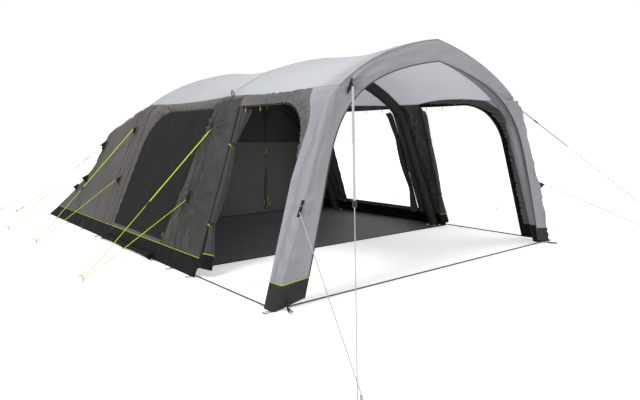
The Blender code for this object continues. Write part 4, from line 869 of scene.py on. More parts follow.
@dataclass(frozen=True)
class Finish:
    """One procedural material and what it is made of."""

    name: str
    base: Triple
    roughness: float = 0.8
    weave: Weave | None = None
    tone: float = 0.12
    crumple: float = 0.0
    dust: float = 0.0
    glow: float = 0.0
    alpha: float = 1.0
    metallic: float = 0.0
    grain: float = 0.0
    shine: float = 0.3
    tall: float = 1.0

    def make(self) -> bpy.types.Material:
        """Build the node material once and return it.

        Returns:
            The material of this finish.
        """
        title = f"{self.name}_finish"
        made = bpy.data.materials.get(title)
        if made is not None:
            return made
        material = bpy.data.materials.new(title)
        material.use_nodes = True
        nodes = Nodes(material)
        shader = material.node_tree.nodes["Principled BSDF"]
        values = {"Roughness": self.roughness, "Metallic": self.metallic, "Alpha": self.alpha,
                  "Specular IOR Level": self.shine}
        if self.glow > 0:
            values |= {"Subsurface Weight": self.glow, "Subsurface Radius": (0.05, 0.05, 0.053),
                       "Subsurface Scale": 1.0}
        for name, value in values.items():
            shader.inputs[name].default_value = value
        nodes.join(self._colour(nodes), shader.inputs["Base Color"])
        normal = None
        if self.crumple > 0:
            for scale, depth in ((4.5, 0.05), (11.0, 0.02)):
                fold = nodes.maths("PINGPONG", nodes.noise(scale, 0.6, 1.0, self.tall), 0.5)
                normal = nodes.bump(fold, self.crumple, depth, normal)
        if self.weave is not None:
            normal = self._threads(nodes, normal)
        if self.grain > 0:
            normal = nodes.bump(nodes.noise(900.0), self.grain, 0.0004, normal)
        if normal is not None:
            nodes.join(normal, shader.inputs["Normal"])
        return material

    def _colour(self, nodes: Nodes) -> Socket:
        """Cloudy tone over the cloth and, where it is dusty, a paler bloom near the ground.

        Args:
            nodes: The material's nodes.

        Returns:
            The colour.
        """
        ramp = nodes.add("ShaderNodeValToRGB")
        base = np.array(self.base)
        for element, place, colour in zip(ramp.color_ramp.elements, (0.32, 0.68),
                                          (base * (1 - self.tone), np.minimum(base * (1 + self.tone), 1.0))):
            element.position = place
            element.color = (*colour, 1.0)
        nodes.join(nodes.noise(1.2, 1.5), ramp.inputs["Fac"])
        if self.dust == 0:
            return ramp.outputs["Color"]
        split = nodes.add("ShaderNodeSeparateXYZ")
        nodes.join(nodes.place.outputs["Object"], split.inputs["Vector"])
        fade = nodes.add("ShaderNodeMapRange", From_Min=0.0, From_Max=0.35, To_Min=self.dust, To_Max=0.0)
        nodes.join(split.outputs["Z"], fade.inputs["Value"])
        mix = nodes.add("ShaderNodeMix")
        mix.data_type = "RGBA"
        mix.inputs[7].default_value = (0.20, 0.18, 0.15, 1.0)
        nodes.join(nodes.maths("MULTIPLY", fade.outputs["Result"], nodes.noise(22.0)), mix.inputs[0])
        nodes.join(ramp.outputs["Color"], mix.inputs[6])
        return mix.outputs[2]

    def _threads(self, nodes: Nodes, normal: Socket | None) -> Socket:
        """Crossed threads as bump: the higher of two waves along the piece's own texture places.

        Args:
            nodes: The material's nodes.
            normal: An earlier normal.

        Returns:
            The new normal.
        """
        pitch, strength = self.weave.value
        heights = []
        for way in ("X", "Y"):
            wave = nodes.add("ShaderNodeTexWave", Scale=1 / (pitch * math.pi), Distortion=0.4)
            wave.bands_direction = way
            nodes.join(nodes.place.outputs["UV"], wave.inputs["Vector"])
            heights.append(wave.outputs["Fac"])
        return nodes.bump(nodes.maths("MAXIMUM", *heights), strength, 0.0006, normal)


ROOF = Finish("roof_cloth", (0.490, 0.504, 0.526), 0.75, Weave.RIPSTOP, 0.03, 0.22, glow=0.55)
# Underside of the roofs: the same roof cloth painted paler and bluer, as painted light standing for daylight that
# shines through it
ROOF_UNDERSIDE_PAINTED_LIGHT = Finish("roof_lining", (0.65, 0.64, 0.71), 0.8, Weave.RIPSTOP, 0.03, 0.12, glow=0.55)
GABLE = Finish("gable_cloth", (0.322, 0.318, 0.334), 0.78, Weave.RIPSTOP, 0.05, 0.40, glow=0.2)
# Side face of the legs: the gable cloth painted a little paler and bluer, as painted light where the key lamp falls on
# it
LEG_SIDE_PAINTED_LIGHT = Finish("leg_side_cloth", (0.350, 0.352, 0.375), 0.78, Weave.RIPSTOP, 0.06, 0.50, glow=0.2, tall=2.2)
WALL = Finish("wall_cloth", (0.096, 0.088, 0.083), 0.70, Weave.CANVAS, 0.08, 0.40, dust=0.05, tall=2.2)
WALL_LINING = Finish("wall_lining", (0.125, 0.116, 0.112), 0.8, Weave.CANVAS, 0.10, 0.45, tall=1.8)
PILLAR = Finish("pillar_cloth", (0.038, 0.035, 0.033), 0.60, Weave.CANVAS, 0.08, 0.55, dust=0.04, tall=2.5)
BAND = Finish("band_cloth", (0.150, 0.142, 0.136), 0.72, Weave.CANVAS, 0.12, 0.30)
SKIRT = Finish("skirt_cloth", (0.0075, 0.0075, 0.0075), 0.80, Weave.COATED, 0.14, 0.50, dust=0.03, shine=0.12)
CUFF = Finish("cuff_cloth", (0.030, 0.030, 0.030), 0.75, Weave.COATED, 0.14, 0.60, dust=0.05, shine=0.15)
FLOOR = Finish("floor_cloth", (0.115, 0.118, 0.122), 0.62, Weave.COATED, 0.10, 0.16, dust=0.03)
NETTING = Finish("mesh_cloth", (0.024, 0.023, 0.023), 0.9, Weave.NETTING, 0.10, 0.12, alpha=0.96, shine=0.08)
NET_INNER = Finish("inner_mesh_cloth", (0.050, 0.048, 0.048), 0.8, Weave.NETTING, 0.10, 0.30, alpha=0.96, shine=0.15)
INNER = Finish("inner_cloth", (0.104, 0.094, 0.090), 0.85, Weave.CANVAS, 0.08, 0.55, tall=2.0)
SLEEVE = Finish("sleeve_cloth", (0.021, 0.020, 0.019), 0.7, Weave.CANVAS, 0.12, 0.25)
FILM = Finish("tube_film", (0.55, 0.57, 0.60), 0.25, None, 0.04, 0.05)
PLASTIC = Finish("black_plastic", (0.018, 0.018, 0.019), 0.42, None, 0.05, grain=0.25)
LIME = Finish("lime_line", (0.56, 0.78, 0.03), 0.7, Weave.CORD, 0.06)
LIME_TRIM = Finish("lime_trim", (0.42, 0.58, 0.04), 0.7, Weave.WEBBING, 0.06)
GREY = Finish("grey_line", (0.46, 0.46, 0.46), 0.7, Weave.CORD, 0.05)
DARK = Finish("dark_line", (0.085, 0.085, 0.088), 0.7, Weave.CORD, 0.08)
WEB = Finish("black_webbing", (0.012, 0.012, 0.013), 0.7, Weave.WEBBING, 0.08)
PIPING = Finish("dark_piping", (0.045, 0.045, 0.050), 0.6, Weave.CORD, 0.05)
SEAM = Finish("seam_tape", (0.29, 0.295, 0.31), 0.7, Weave.WEBBING, 0.05)
ROOF_SEAM = Finish("roof_seam_tape", (0.43, 0.44, 0.46), 0.7, Weave.WEBBING, 0.04, glow=0.4)
WALL_SEAM = Finish("wall_seam_tape", (0.034, 0.032, 0.030), 0.7, Weave.WEBBING, 0.05)
STEEL = Finish("peg_steel", (0.36, 0.36, 0.38), 0.34, None, 0.04, metallic=1.0, grain=0.1)
SLOT_FINISHES = {Slot(finish.name): finish for finish in (
    ROOF, GABLE, WALL, BAND, SKIRT, FLOOR, NETTING, INNER, SLEEVE, FILM, PLASTIC, LIME, GREY, DARK)}


# A sheet that fills less than this share of its length by its width is a bent strip, measured by its mean width
BENT_STRIP_SHARE = 0.35
BENT_STRIP_FILL = 0.9


@dataclass(frozen=True)
class Panel:
    """One sewn sheet of cloth, from a grid of points on its outer face.

    The folds move the grid along its normals and fade out at its borders. Cells of the grid can take other
    finishes, and the inner face can take a finish of its own: a lining on the walls, and on the canopy and living
    roofs a paler colour painted as the light that shines through the cloth. The sheet replaces the node of its own
    name, or those named.
    """

    name: str
    grid: Points
    finish: Finish
    slot: Slot
    toward: Triple
    relief: Points | None = None
    fade: float = 0.05
    held: str = "stretched"
    rests_on: tuple[str, ...] = ()
    lining: Finish | None = None
    others: tuple[Finish, ...] = ()
    cells: Points | None = None
    nodes: tuple[str, ...] | None = None

    def faces(self) -> tuple[Points, Points]:
        """Outer and inner grid with the folds.

        Returns:
            Both grids, one thickness apart.
        """
        toward = np.asarray(self.toward, float)
        outer = self.grid
        if self.relief is not None:
            outer = outer + grid_normals(outer, toward) * (self.relief * border(outer, self.fade))[..., None]
        return outer, outer - grid_normals(outer, toward) * THICKNESS

    def make(self) -> Piece:
        """Build the sheet, let it ride the tent and keep its outer face for the pieces built after it.

        Returns:
            The new object.
        """
        outer, inner = self.faces()
        builder = Builder()
        builder.sheet(outer, inner)
        lining = () if self.lining is None else (self.lining,)
        nodes = (self.name,) if self.nodes is None else self.nodes
        piece = builder.build(self.name, (self.finish, *self.others, *lining), nodes)
        count = (outer.shape[0] - 1) * (outer.shape[1] - 1)
        marks = np.zeros(len(piece.data.polygons), dtype=np.int32)
        if self.cells is not None:
            marks[:2 * count] = np.tile(self.cells.ravel(), 2)
        if self.lining is not None:
            marks[count:2 * count] = len(self.others) + 1
        piece.data.polygons.foreach_set("material_index", marks)
        width, length = float(arc(self.grid, 1)[:, -1].max()), float(arc(self.grid, 0)[-1].max())
        a = self.grid[1:, 1:] - self.grid[:-1, :-1]
        b = self.grid[1:, :-1] - self.grid[:-1, 1:]
        area = float(np.linalg.norm(np.cross(a, b), axis=-1).sum() / 2)
        if area < BENT_STRIP_SHARE * width * length:
            length = area / (BENT_STRIP_FILL * width)
        SHEETS[self.name] = outer
        return piece


SHEETS: dict[str, Points] = {}


def cell_centres(grid: Points) -> Points:
    """Middles of the cells of a grid."""
    return (grid[1:, 1:] + grid[:-1, :-1] + grid[1:, :-1] + grid[:-1, 1:]) / 4


def edge_of(name: str, part: Edge) -> Points:
    """One border of a built sheet."""
    grid = SHEETS[name]
    return {Edge.LOW: grid[0], Edge.HIGH: grid[-1], Edge.FIRST: grid[:, 0], Edge.LAST: grid[:, -1]}[part]


def nearest(name: str, point: Points) -> Points:
    """The place of a built sheet that is nearest to a point."""
    flat = SHEETS[name].reshape(-1, 3)
    return flat[np.argmin(np.linalg.norm(flat - point, axis=1))]


def crossing(name: str, wanted: Callable[[Points], Points], low: float = -1.0, high: float = 9.0,
             start: int = 0) -> Points:
    """The line on a built sheet where each row reaches a wanted Y.

    Args:
        name: The sheet.
        wanted: Y for each height.
        low: Lowest row that counts.
        high: Highest row that counts.
        start: First column that counts.

    Returns:
        One point for each row between both heights.
    """
    grid = SHEETS[name][:, start:]
    height = grid[..., 2].mean(axis=1)
    grid, height = (part[(height >= low) & (height <= high)] for part in (grid, height))
    beyond = np.diff(np.signbit(grid[..., 1] - wanted(height)[:, None]).astype(int), axis=1) != 0
    at = np.argmax(beyond, axis=1)
    rows = np.arange(len(grid))
    one, two = grid[rows, at], grid[rows, at + 1]
    share = (wanted(height) - one[:, 1]) / np.where(two[:, 1] == one[:, 1], 1.0, two[:, 1] - one[:, 1])
    return (one + (two - one) * np.clip(share, 0, 1)[:, None])[beyond.any(axis=1)]


@dataclass(frozen=True)
class Roofs:
    """The three light roof panels over the bays, with their folds, seam tapes and hems."""

    half_columns: int = 72
    tape_radius: float = 0.0085
    crest_radius: float = 0.006
    hem_radius: float = 0.0032

    def eave_rows(self, cut: SideCut, bay: Bay, rows: int, gap: float) -> tuple[Points, Points]:
        """One eave edge: its seam over the opening, and the straight seam beside it.

        Args:
            cut: The side.
            bay: The bay below the roof.
            rows: Number of points.
            gap: Half the seam's gap as a share of the bay.

        Returns:
            Along values and shares of the outline.
        """
        if bay is BEDROOM:
            return np.linspace(gap, 1, rows), np.full(rows, EAVE_SHARE)
        along, height = cut.eave(bay, 65)
        first = 0.0 if bay is CANOPY else gap
        turn = np.concatenate([[0.0, 1 / 8], np.linspace(2 / 8, 6 / 8, 65), [7 / 8, 1.0]])
        knots = np.concatenate([[first, along[0] / 2], along, [(along[-1] + 1) / 2, 1 - gap]])
        share = np.pad(bay.first.share_at(height), 2, constant_values=EAVE_SHARE)
        at = np.linspace(0, 1, rows)
        return np.interp(at, turn, knots), np.interp(at, turn, share)

    def panel(self, name: str, bay: Bay, seed: int) -> None:
        """One roof: the bay's surface from eave over ridge to eave, with sag folds and puckered hems.

        Args:
            name: Its node.
            bay: The bay that it covers.
            seed: Seed of its folds.
        """
        span = abs(bay.second.foot_y - bay.first.foot_y)
        rows = steps_of(span)
        edges = [self.eave_rows(CUTS[side], bay, rows, SEAM_GAP / 2 / span) for side in Side]
        half = np.linspace(0, 1, self.half_columns)[None]
        left = (1 - edges[0][1][:, None]) * (half - 1)
        right = ((1 - edges[1][1][:, None]) * (1 - half))[:, ::-1]
        across = np.concatenate([left, right[:, 1:]], axis=1)
        mix = np.linspace(0, 1, across.shape[1])
        grid = bay.points(edges[0][0][:, None] * (1 - mix) + edges[1][0][:, None] * mix, across)
        relief = Relief(seed)
        seam = np.minimum(np.arange(rows), np.arange(rows)[::-1])[:, None] * span / rows
        eave = np.minimum(np.arange(across.shape[1]), np.arange(across.shape[1])[::-1])[None] * STEP
        pull = relief.creases(grid, 0.16, (0.0, 1.0, 0.1), 6.0) * np.exp(-seam / 0.35)
        droop = relief.gathers(grid[..., 1], 0.13) * np.exp(-eave / 0.12)
        lift = 0.007 * pull + 0.006 * relief.waves(grid, 0.55) + 0.008 * droop
        # The canopy and living roofs get an inner face painted paler as the light shining through; the bedroom roof's
        # inner face takes the inner cloth
        Panel(name, grid, ROOF, Slot.ROOF, (0, 0, 1), lift, 0.06, rests_on=("sleeve_middle",),
              lining=INNER if bay is BEDROOM else ROOF_UNDERSIDE_PAINTED_LIGHT).make()

    def seams(self) -> None:
        """The tapes over the arches, the hems along the eaves and the seams of the gable."""
        builder = Builder()
        for name, part in (("canopy_roof", Edge.LOW), ("canopy_roof", Edge.HIGH), ("living_roof", Edge.HIGH),
                           ("sleeping_roof", Edge.HIGH)):
            normal = grid_normals(SHEETS[name], UP)[0 if part is Edge.LOW else -1]
            size = self.crest_radius if part is Edge.LOW else self.tape_radius
            builder.tube(edge_of(name, part) + normal * 0.0006, size, 8, 0, 0.22, normal)
        for name in ("canopy_roof", "living_roof", "sleeping_roof"):
            for part in (Edge.FIRST, Edge.LAST):
                builder.tube(edge_of(name, part) + 0.0008 * UP, self.hem_radius, 6)
        for part in (Edge.FIRST, Edge.LAST):
            builder.tube(edge_of("front_gable", part) - np.array([0.0, 0.0012, 0.0]), 0.0030, 6)
        builder.build("roof_seams", [ROOF_SEAM], angle=60)

    def make(self) -> None:
        """Build the three roofs."""
        for seed, name, bay in ((3, "canopy_roof", CANOPY), (5, "living_roof", LIVING), (7, "sleeping_roof", BEDROOM)):
            self.panel(name, bay, seed)


@dataclass(frozen=True)
class FrontFrame:
    """The gable and the two folded front legs with their dark cuffs and the piping of the opening."""

    soft_corner: float = 0.028
    cuff_inner_height: float = 0.20
    cuff_inner_foot: float = 0.05
    leg_columns: int = 34
    piping_radius: float = 0.0048
    seam_radius: float = 0.0023

    def gable(self) -> None:
        """The front panel: straight lines from the crest of the canopy to the edge of the opening."""
        outer, normal = FRONT.outline(np.linspace(EAVE_SHARE, 1, 110))
        outer = outer - normal * (CLOTH + SEAM_GAP)
        inner = OPENING.outline(np.linspace(float(OPENING.share_at(GABLE_SEAM_HEIGHT)), 1, 110))[0]
        half = ruled(outer, inner, 24)
        flat = np.concatenate([half * np.array([-1.0, 1.0]), half[:, ::-1][:, 1:]], axis=1)
        grid = xyz(flat[..., 0], FRONT.y_at(flat[..., 1]), flat[..., 1])
        relief = Relief(11)
        lift = sum(size * relief.fan(grid, (x, -2.95, 1.60), reach, count)
                   for x in (-1.20, 1.30) for size, reach, count in ((0.034, 0.66, 19), (0.024, 0.36, 29)))
        lift += 0.010 * relief.waves(grid, 0.30) + 0.010 * relief.creases(grid, 0.10, (1.0, 0.0, 0.15), 7.0)
        Panel("front_gable", grid, GABLE, Slot.GABLE, (0, -1, 0), lift, 0.035).make()

    def folded(self, side: Side, heights: Points, edge_heights: Points) -> Points:
        """Strip folded round the front corner of a leg: two straight faces and a soft corner between them.

        Args:
            side: Left or right leg.
            heights: Heights of the rows at the corner.
            edge_heights: Heights of the rows at the opening's edge.

        Returns:
            The grid, from the opening's edge to the rear edge of the leg.
        """
        flat = FRONT.outline(FRONT.share_at(heights))[0]
        edge = OPENING.outline(OPENING.share_at(edge_heights))[0]
        rear, start = leg_rear_y(heights), FRONT.y_at(heights)
        inner = xyz(side * edge[:, 0], FRONT.y_at(edge[:, 1]), edge[:, 1])[:, None]
        corner = xyz(side * flat[:, 0], start, flat[:, 1])[:, None]
        wide = np.linalg.norm(corner - inner, axis=-1, keepdims=True)
        soft = np.minimum(self.soft_corner, 0.45 * (rear - start))
        first = inner + (corner - inner) * np.linspace(0, 1, 12)[None, :, None] * (1 - soft[:, None, None] / wide)
        run = self.leg_columns - 18
        share = np.linspace(0, 1, run)[None]
        y = start[:, None] + soft[:, None] + (rear - start - soft)[:, None] * share
        last = CANOPY.wall(side, y, np.broadcast_to(heights[:, None], y.shape))
        t = np.linspace(0, 1, 8)[None, 1:-1, None]
        bend = (1 - t) ** 2 * first[:, -1:] + 2 * t * (1 - t) * corner + t ** 2 * last[:, :1]
        return np.concatenate([first, bend, last], axis=1)

    def leg(self, side: Side) -> None:
        """One leg with long creases from its tabs, its side face painted paler as lit by the key lamp, and its cuff.

        Args:
            side: Left or right leg.
        """
        word = side.word
        heights = np.concatenate([np.linspace(CUFF_HEIGHT + SEAM_GAP, SHOULDER_HEIGHT, 64),
                                  np.linspace(SHOULDER_HEIGHT, EAVE_HEIGHT - SEAM_GAP, 9)[1:]])
        rise = (heights - heights[0]) / (heights[-1] - heights[0])
        inner = self.cuff_inner_height
        grid = self.folded(side, heights, inner + (GABLE_SEAM_HEIGHT - SEAM_GAP - inner) * rise)
        relief = Relief(20 + side)
        lift = 0.020 * relief.creases(grid, 0.09, (-side * 0.35, 0.25, 1.0), 5.0)
        lift += 0.020 * relief.fan(grid, (side * 1.30, -2.95, 1.58), 0.50, 19)
        lift += 0.020 * relief.fan(grid, GUYLINES[f"front_{word}"][2], 0.34, 13) + 0.006 * relief.waves(grid, 0.22)
        cells = np.zeros((len(grid) - 1, grid.shape[1] - 1), dtype=np.int32)
        # Cells from the front corner back take the side face's colour, painted paler as lit
        cells[:, 15:] = 1
        Panel(f"leg_{word}", grid, GABLE, Slot.GABLE, (side, -1, 0.3), lift, 0.10, others=(LEG_SIDE_PAINTED_LIGHT,),
              cells=cells).make()
        grid = self.folded(side, np.linspace(0.0, CUFF_HEIGHT, 12),
                           np.linspace(self.cuff_inner_foot, inner - SEAM_GAP, 12))
        relief = Relief(24 + side)
        lift = 0.014 * relief.creases(grid, 0.10, (side * 0.8, 0.0, 1.0), 4.0)
        Panel(f"leg_cuff_{word}", grid, CUFF, Slot.SKIRT, (side, -1, 0.3), lift, 0.02).make()

    def piping(self) -> None:
        """Dark piping round the opening, and the stitched seams down both faces of the legs."""
        builder = Builder()
        step = np.array([0.0, -0.001, 0.0])
        builder.tube(edge_of("front_gable", Edge.HIGH) + step, self.piping_radius, 8)
        for side in Side:
            builder.tube(edge_of(f"leg_{side.word}", Edge.FIRST) + step, self.piping_radius, 8)
            builder.tube(edge_of(f"leg_cuff_{side.word}", Edge.FIRST) + step, self.piping_radius, 8)
            grid = SHEETS[f"leg_{side.word}"]
            normal = grid_normals(grid, np.array([side, -1, 0.3]))
            builder.tube(grid[:, 13] + normal[:, 13] * 0.0008, self.seam_radius, 6, 1)
            for shift in (0.0, 0.022):
                line = crossing(f"leg_{side.word}", lambda h, d=shift: from_front(
                    d + np.interp(h, [0.18, 0.9, 1.27, 1.6], [0.088, 0.118, 0.110, 0.085])), 0.0, 1.60, 17)
                builder.tube(line + side.normal * 0.0008, self.seam_radius, 6, 1)
        builder.build("front_opening_piping", [PIPING, SEAM], angle=60)

    def make(self) -> None:
        """Build the gable, both legs and their piping."""
        self.gable()
        for side in Side:
            self.leg(side)
        self.piping()


@dataclass(frozen=True)
class SideWalls:
    """Pillars, gathered bands, door frames and sleeping walls of both sides, sewn edge to edge."""

    bulge: float = 0.03
    band_end_width: float = 0.012
    band_foot: float = 0.012
    corner_reach: float = 0.39
    binding_width: float = 0.05
    hem_height: float = 0.19
    tape_radius: float = 0.0050

    def pillar(self, side: Side) -> None:
        """One pillar over the middle arch: two bay surfaces that meet there, pushed out and crumpled.

        Args:
            side: Left or right.
        """
        cut, word = CUTS[side], side.word
        z = np.repeat(np.linspace(SKIRT_HEIGHT + SEAM_GAP, EAVE_HEIGHT - SEAM_GAP, 84)[:, None], 21, axis=1)
        rise = (z - z[0]) / (z[-1] - z[0])
        swell = self.bulge * np.sqrt(np.clip(4 * rise * (1 - rise), 0, 1))
        share = np.linspace(0, 1, 21)
        lean = MIDDLE.y_at(z)
        front = cut.pillar_front(z) * (1 - share) + lean * share
        rear = lean * (1 - share) + cut.pillar_rear(z) * share
        first = CANOPY.wall(side, front, z, -swell * np.sin(share * math.pi / 2) ** 2)
        second = LIVING.wall(side, rear, z, -swell * np.cos(share * math.pi / 2) ** 2)
        grid = np.concatenate([first, second[:, 1:]], axis=1)
        relief = Relief(30 + side)
        high, _, low = GUYLINES[f"middle_{word}"][:3]
        lift = 0.022 * relief.creases(grid, 0.20, (-side * 0.4, 0.22, 1.0), 4.5, 0.7)
        lift += 0.018 * relief.creases(grid, 0.15, (-side * 0.3, -0.75, 1.0), 3.2, 0.7)
        lift += 0.040 * relief.fan(grid, high, 0.40, 11, (1, 2)) + 0.034 * relief.fan(grid, low, 0.34, 9, (1, 2))
        pucker = np.exp(-((grid[..., 1] - MIDDLE.y_at(grid[..., 2]) - 0.01) / 0.045) ** 2)
        lift += 0.006 * relief.gathers(grid[..., 2], 0.034) * pucker
        Panel(f"pillar_{word}", grid, PILLAR, Slot.WALL, (side, 0, 0.3), lift, 0.09, rests_on=("sleeve_middle",),
              lining=WALL_LINING).make()

    def band_edges(self, side: Side, count: int) -> tuple[Points, Points]:
        """Both edges of a canopy band: the eave seam and the leg, and a quarter ellipse round the opening.

        Args:
            side: Left, where it ends half way down the leg, or right, where it runs to the floor.
            count: Points on each stretch.

        Returns:
            Outer and inner edge as (y, z) with matched points.
        """
        cut = CUTS[side]
        end = cut.top - CANOPY_CORNER_DROP
        corner = float(leg_rear_y(end)) + self.band_end_width if side < 0 else from_front(BAND_CORNER)
        t = np.linspace(0, 1, count)
        along, seam = cut.eave(CANOPY, count)
        seam_z = seam[::-1] - SEAM_GAP
        seam_y = CANOPY.y_of(along[::-1], seam_z)
        seam_y[0] -= SEAM_GAP
        seam_y[-1] += SEAM_GAP
        shoulder = float(FRONT.outline(np.linspace(0.5, EAVE_SHARE, 3))[0][1, 1])
        rows = [seam_z[-1], shoulder, SHOULDER_HEIGHT, (LEG_FLARE_HEIGHT + SHOULDER_HEIGHT) / 2, LEG_FLARE_HEIGHT, end]
        down = np.interp(t * 5, np.arange(6), rows)[1:]
        turn = t[1:] * math.pi / 2
        arc_y = corner + self.corner_reach * (1 - np.sin(turn))
        arc_z = cut.top - CANOPY_CORNER_DROP * (1 - np.cos(turn))
        start = float(cut.pillar_front(cut.top)) - SEAM_GAP
        lower = np.linspace(end, self.band_foot, count)[1:] if side > 0 else np.zeros(0)
        down = np.concatenate([down, lower])
        outer = np.stack([np.concatenate([seam_y, leg_rear_y(down) + SEAM_GAP]), np.concatenate([seam_z, down])], -1)
        inner_y = np.concatenate([start + (corner + self.corner_reach - start) * t, arc_y, right_band_y(lower)])
        return outer, np.stack([inner_y, np.concatenate([np.full(count, cut.top), arc_z, lower])], -1)

    def band(self, side: Side) -> None:
        """One gathered band with its dark binding along the opening and, on the right, its black hem.

        Args:
            side: Left or right.
        """
        outer, inner = self.band_edges(side, 60)
        flat = ruled(outer, inner, 17)
        grid = CANOPY.wall(side, flat[..., 0], flat[..., 1])
        relief = Relief(40 + side)
        run = arc(grid, 1)[-1] + 0.04 * np.linspace(0, 1, 17)[:, None]
        lift = 0.030 * relief.gathers(run, 0.060)
        lift += 0.010 * relief.creases(grid, 0.07, (0.0, -0.2, 1.0), 4.0)
        lift = lift * np.sin(np.linspace(0.1, 0.9, 17) * math.pi)[:, None] + 0.004 * relief.waves(grid, 0.12)
        to_edge = arc(grid[::-1], 0)[::-1]
        width = self.binding_width if side > 0 else 0.012
        near = (to_edge[:-1, :-1] + to_edge[1:, 1:]) / 2 < width
        cells = np.where(near | (cell_centres(grid)[..., 2] < self.hem_height), 1, 0).astype(np.int32)
        Panel(f"canopy_band_{side.word}", grid, BAND, Slot.BAND, (side, 0, 0.4), lift, 0.012, held="gathered",
              others=(SKIRT,), cells=cells).make()

    def frame_edges(self, side: Side, count: int) -> tuple[Points, Points]:
        """Both edges of a living door's frame: over the top, down the rear side and under the door.

        Args:
            side: Left or right.
            count: Points on each of the three stretches.

        Returns:
            Outer and inner edge as (y, z) with matched points.
        """
        cut = CUTS[side]
        low, rear = SKIRT_HEIGHT + SEAM_GAP, from_front(FRAME_REAR) - SEAM_GAP
        t = np.linspace(0, 1, count)
        along, seam = cut.eave(LIVING, count)
        seam_z = seam - SEAM_GAP
        seam_y = LIVING.y_of(along, seam_z)
        seam_y[0] += SEAM_GAP
        seam_y[-1] -= SEAM_GAP
        start, corner = float(cut.pillar_rear(cut.top)) + SEAM_GAP, float(door_rear_y(cut.top, cut.top))
        bend = cut.top - DOOR_CORNER_DROP
        down = np.where(t <= 0.5, bend + DOOR_CORNER_DROP * np.sin(math.pi / 2 * (1 - 2 * t)),
                        bend + (DOOR_FOOT - bend) * (2 * t - 1))
        foot = float(door_rear_y(DOOR_FOOT, cut.top))
        end, last = (float(cut.pillar_rear(h)) + SEAM_GAP for h in (low, DOOR_FOOT))
        outer = [np.stack([seam_y, seam_z], -1),
                 np.stack([np.full(count, rear), seam_z[-1] + (low - seam_z[-1]) * t], -1)[1:],
                 np.stack([rear + (end - rear) * t, np.full(count, low)], -1)[1:]]
        inner = [np.stack([start + (corner - start) * t, np.full(count, cut.top)], -1),
                 np.stack([door_rear_y(down, cut.top), down], -1)[1:],
                 np.stack([foot + (last - foot) * t, np.full(count, DOOR_FOOT)], -1)[1:]]
        return np.concatenate(outer), np.concatenate(inner)

    def frame(self, side: Side) -> None:
        """One door frame, gathered along the top, with a ruffled dark binding.

        Args:
            side: Left or right.
        """
        outer, inner = self.frame_edges(side, 56)
        flat = ruled(outer, inner, 11)
        grid = LIVING.wall(side, flat[..., 0], flat[..., 1])
        relief = Relief(50 + side)
        run = arc(grid, 1)[-1] + 0.03 * np.linspace(0, 1, 11)[:, None]
        top = smooth((flat[..., 1] - 1.0) / 0.4)
        lift = 0.018 * relief.gathers(run, 0.055) * (0.15 + 0.85 * top)
        lift = lift * np.sin(np.linspace(0.15, 1.0, 11) * math.pi / 2)[:, None] + 0.008 * relief.waves(grid, 0.2)
        Panel(f"living_frame_{side.word}", grid, WALL, Slot.WALL, (side, 0, 0.4), lift, 0.012, held="gathered",
              lining=WALL_LINING).make()

    def sleeping(self, side: Side, rows: int = 66, columns: int = 84) -> None:
        """One sleeping wall: the rest of the living bay, then the bedroom bay drawn back to the rear corner.

        Args:
            side: Left or right.
            rows: Points from the skirt to the eave.
            columns: Points from the door's frame to the rear corner.
        """
        low = SKIRT_HEIGHT + SEAM_GAP
        rise = np.linspace(0, 1, rows)
        first, last = (np.interp(rise, [0, 5 / 7, 1], [float(a.share_at(low)), 0.5, EAVE_SHARE])[:, None]
                       for a in (SLEEPING, REAR))
        gap = np.where(np.arange(rows) == rows - 1, SEAM_GAP, 0.0)[:, None]
        height = SLEEPING.outline(first[:, 0])[0][:, 1][:, None] - gap
        start, count = from_front(FRAME_REAR), columns // 9
        y = start + (SLEEPING.y_at(height) - start) * np.linspace(0, 1, count, endpoint=False)[None]
        front = LIVING.wall(side, y, np.broadcast_to(height, y.shape))
        along = np.linspace(0, 1, columns - count)[None]
        rear = BEDROOM.points(along, side * (1 - ((1 - along) * first + along * last - gap / 2)))
        rear[..., 1] += along * (rear_edge_y(rear[..., 2]) - REAR.y_at(rear[..., 2]))
        grid = np.concatenate([front, rear], axis=1)
        relief = Relief(70 + side)
        lift = 0.014 * relief.waves(grid, 0.60) + 0.012 * relief.creases(grid, 0.30, (-side * 0.4, 0.35, 1.0), 4.0)
        lift += 0.008 * relief.creases(grid, 0.20, (-side * 0.4, -0.5, 1.0), 3.0)
        for name in ("sleeping_left", "rear_side") if side < 0 else ("sleeping_right",):
            lift += 0.014 * relief.fan(grid, GUYLINES[name][0], 0.34, 11, (1, 2))
            lift += 0.012 * relief.fan(grid, GUYLINES[name][2], 0.30, 9, (1, 2))
        Panel(f"sleeping_wall_{side.word}", grid, WALL, Slot.WALL, (side, 0, 0.3), lift, 0.05,
              rests_on=("sleeve_sleeping",), lining=WALL_LINING).make()

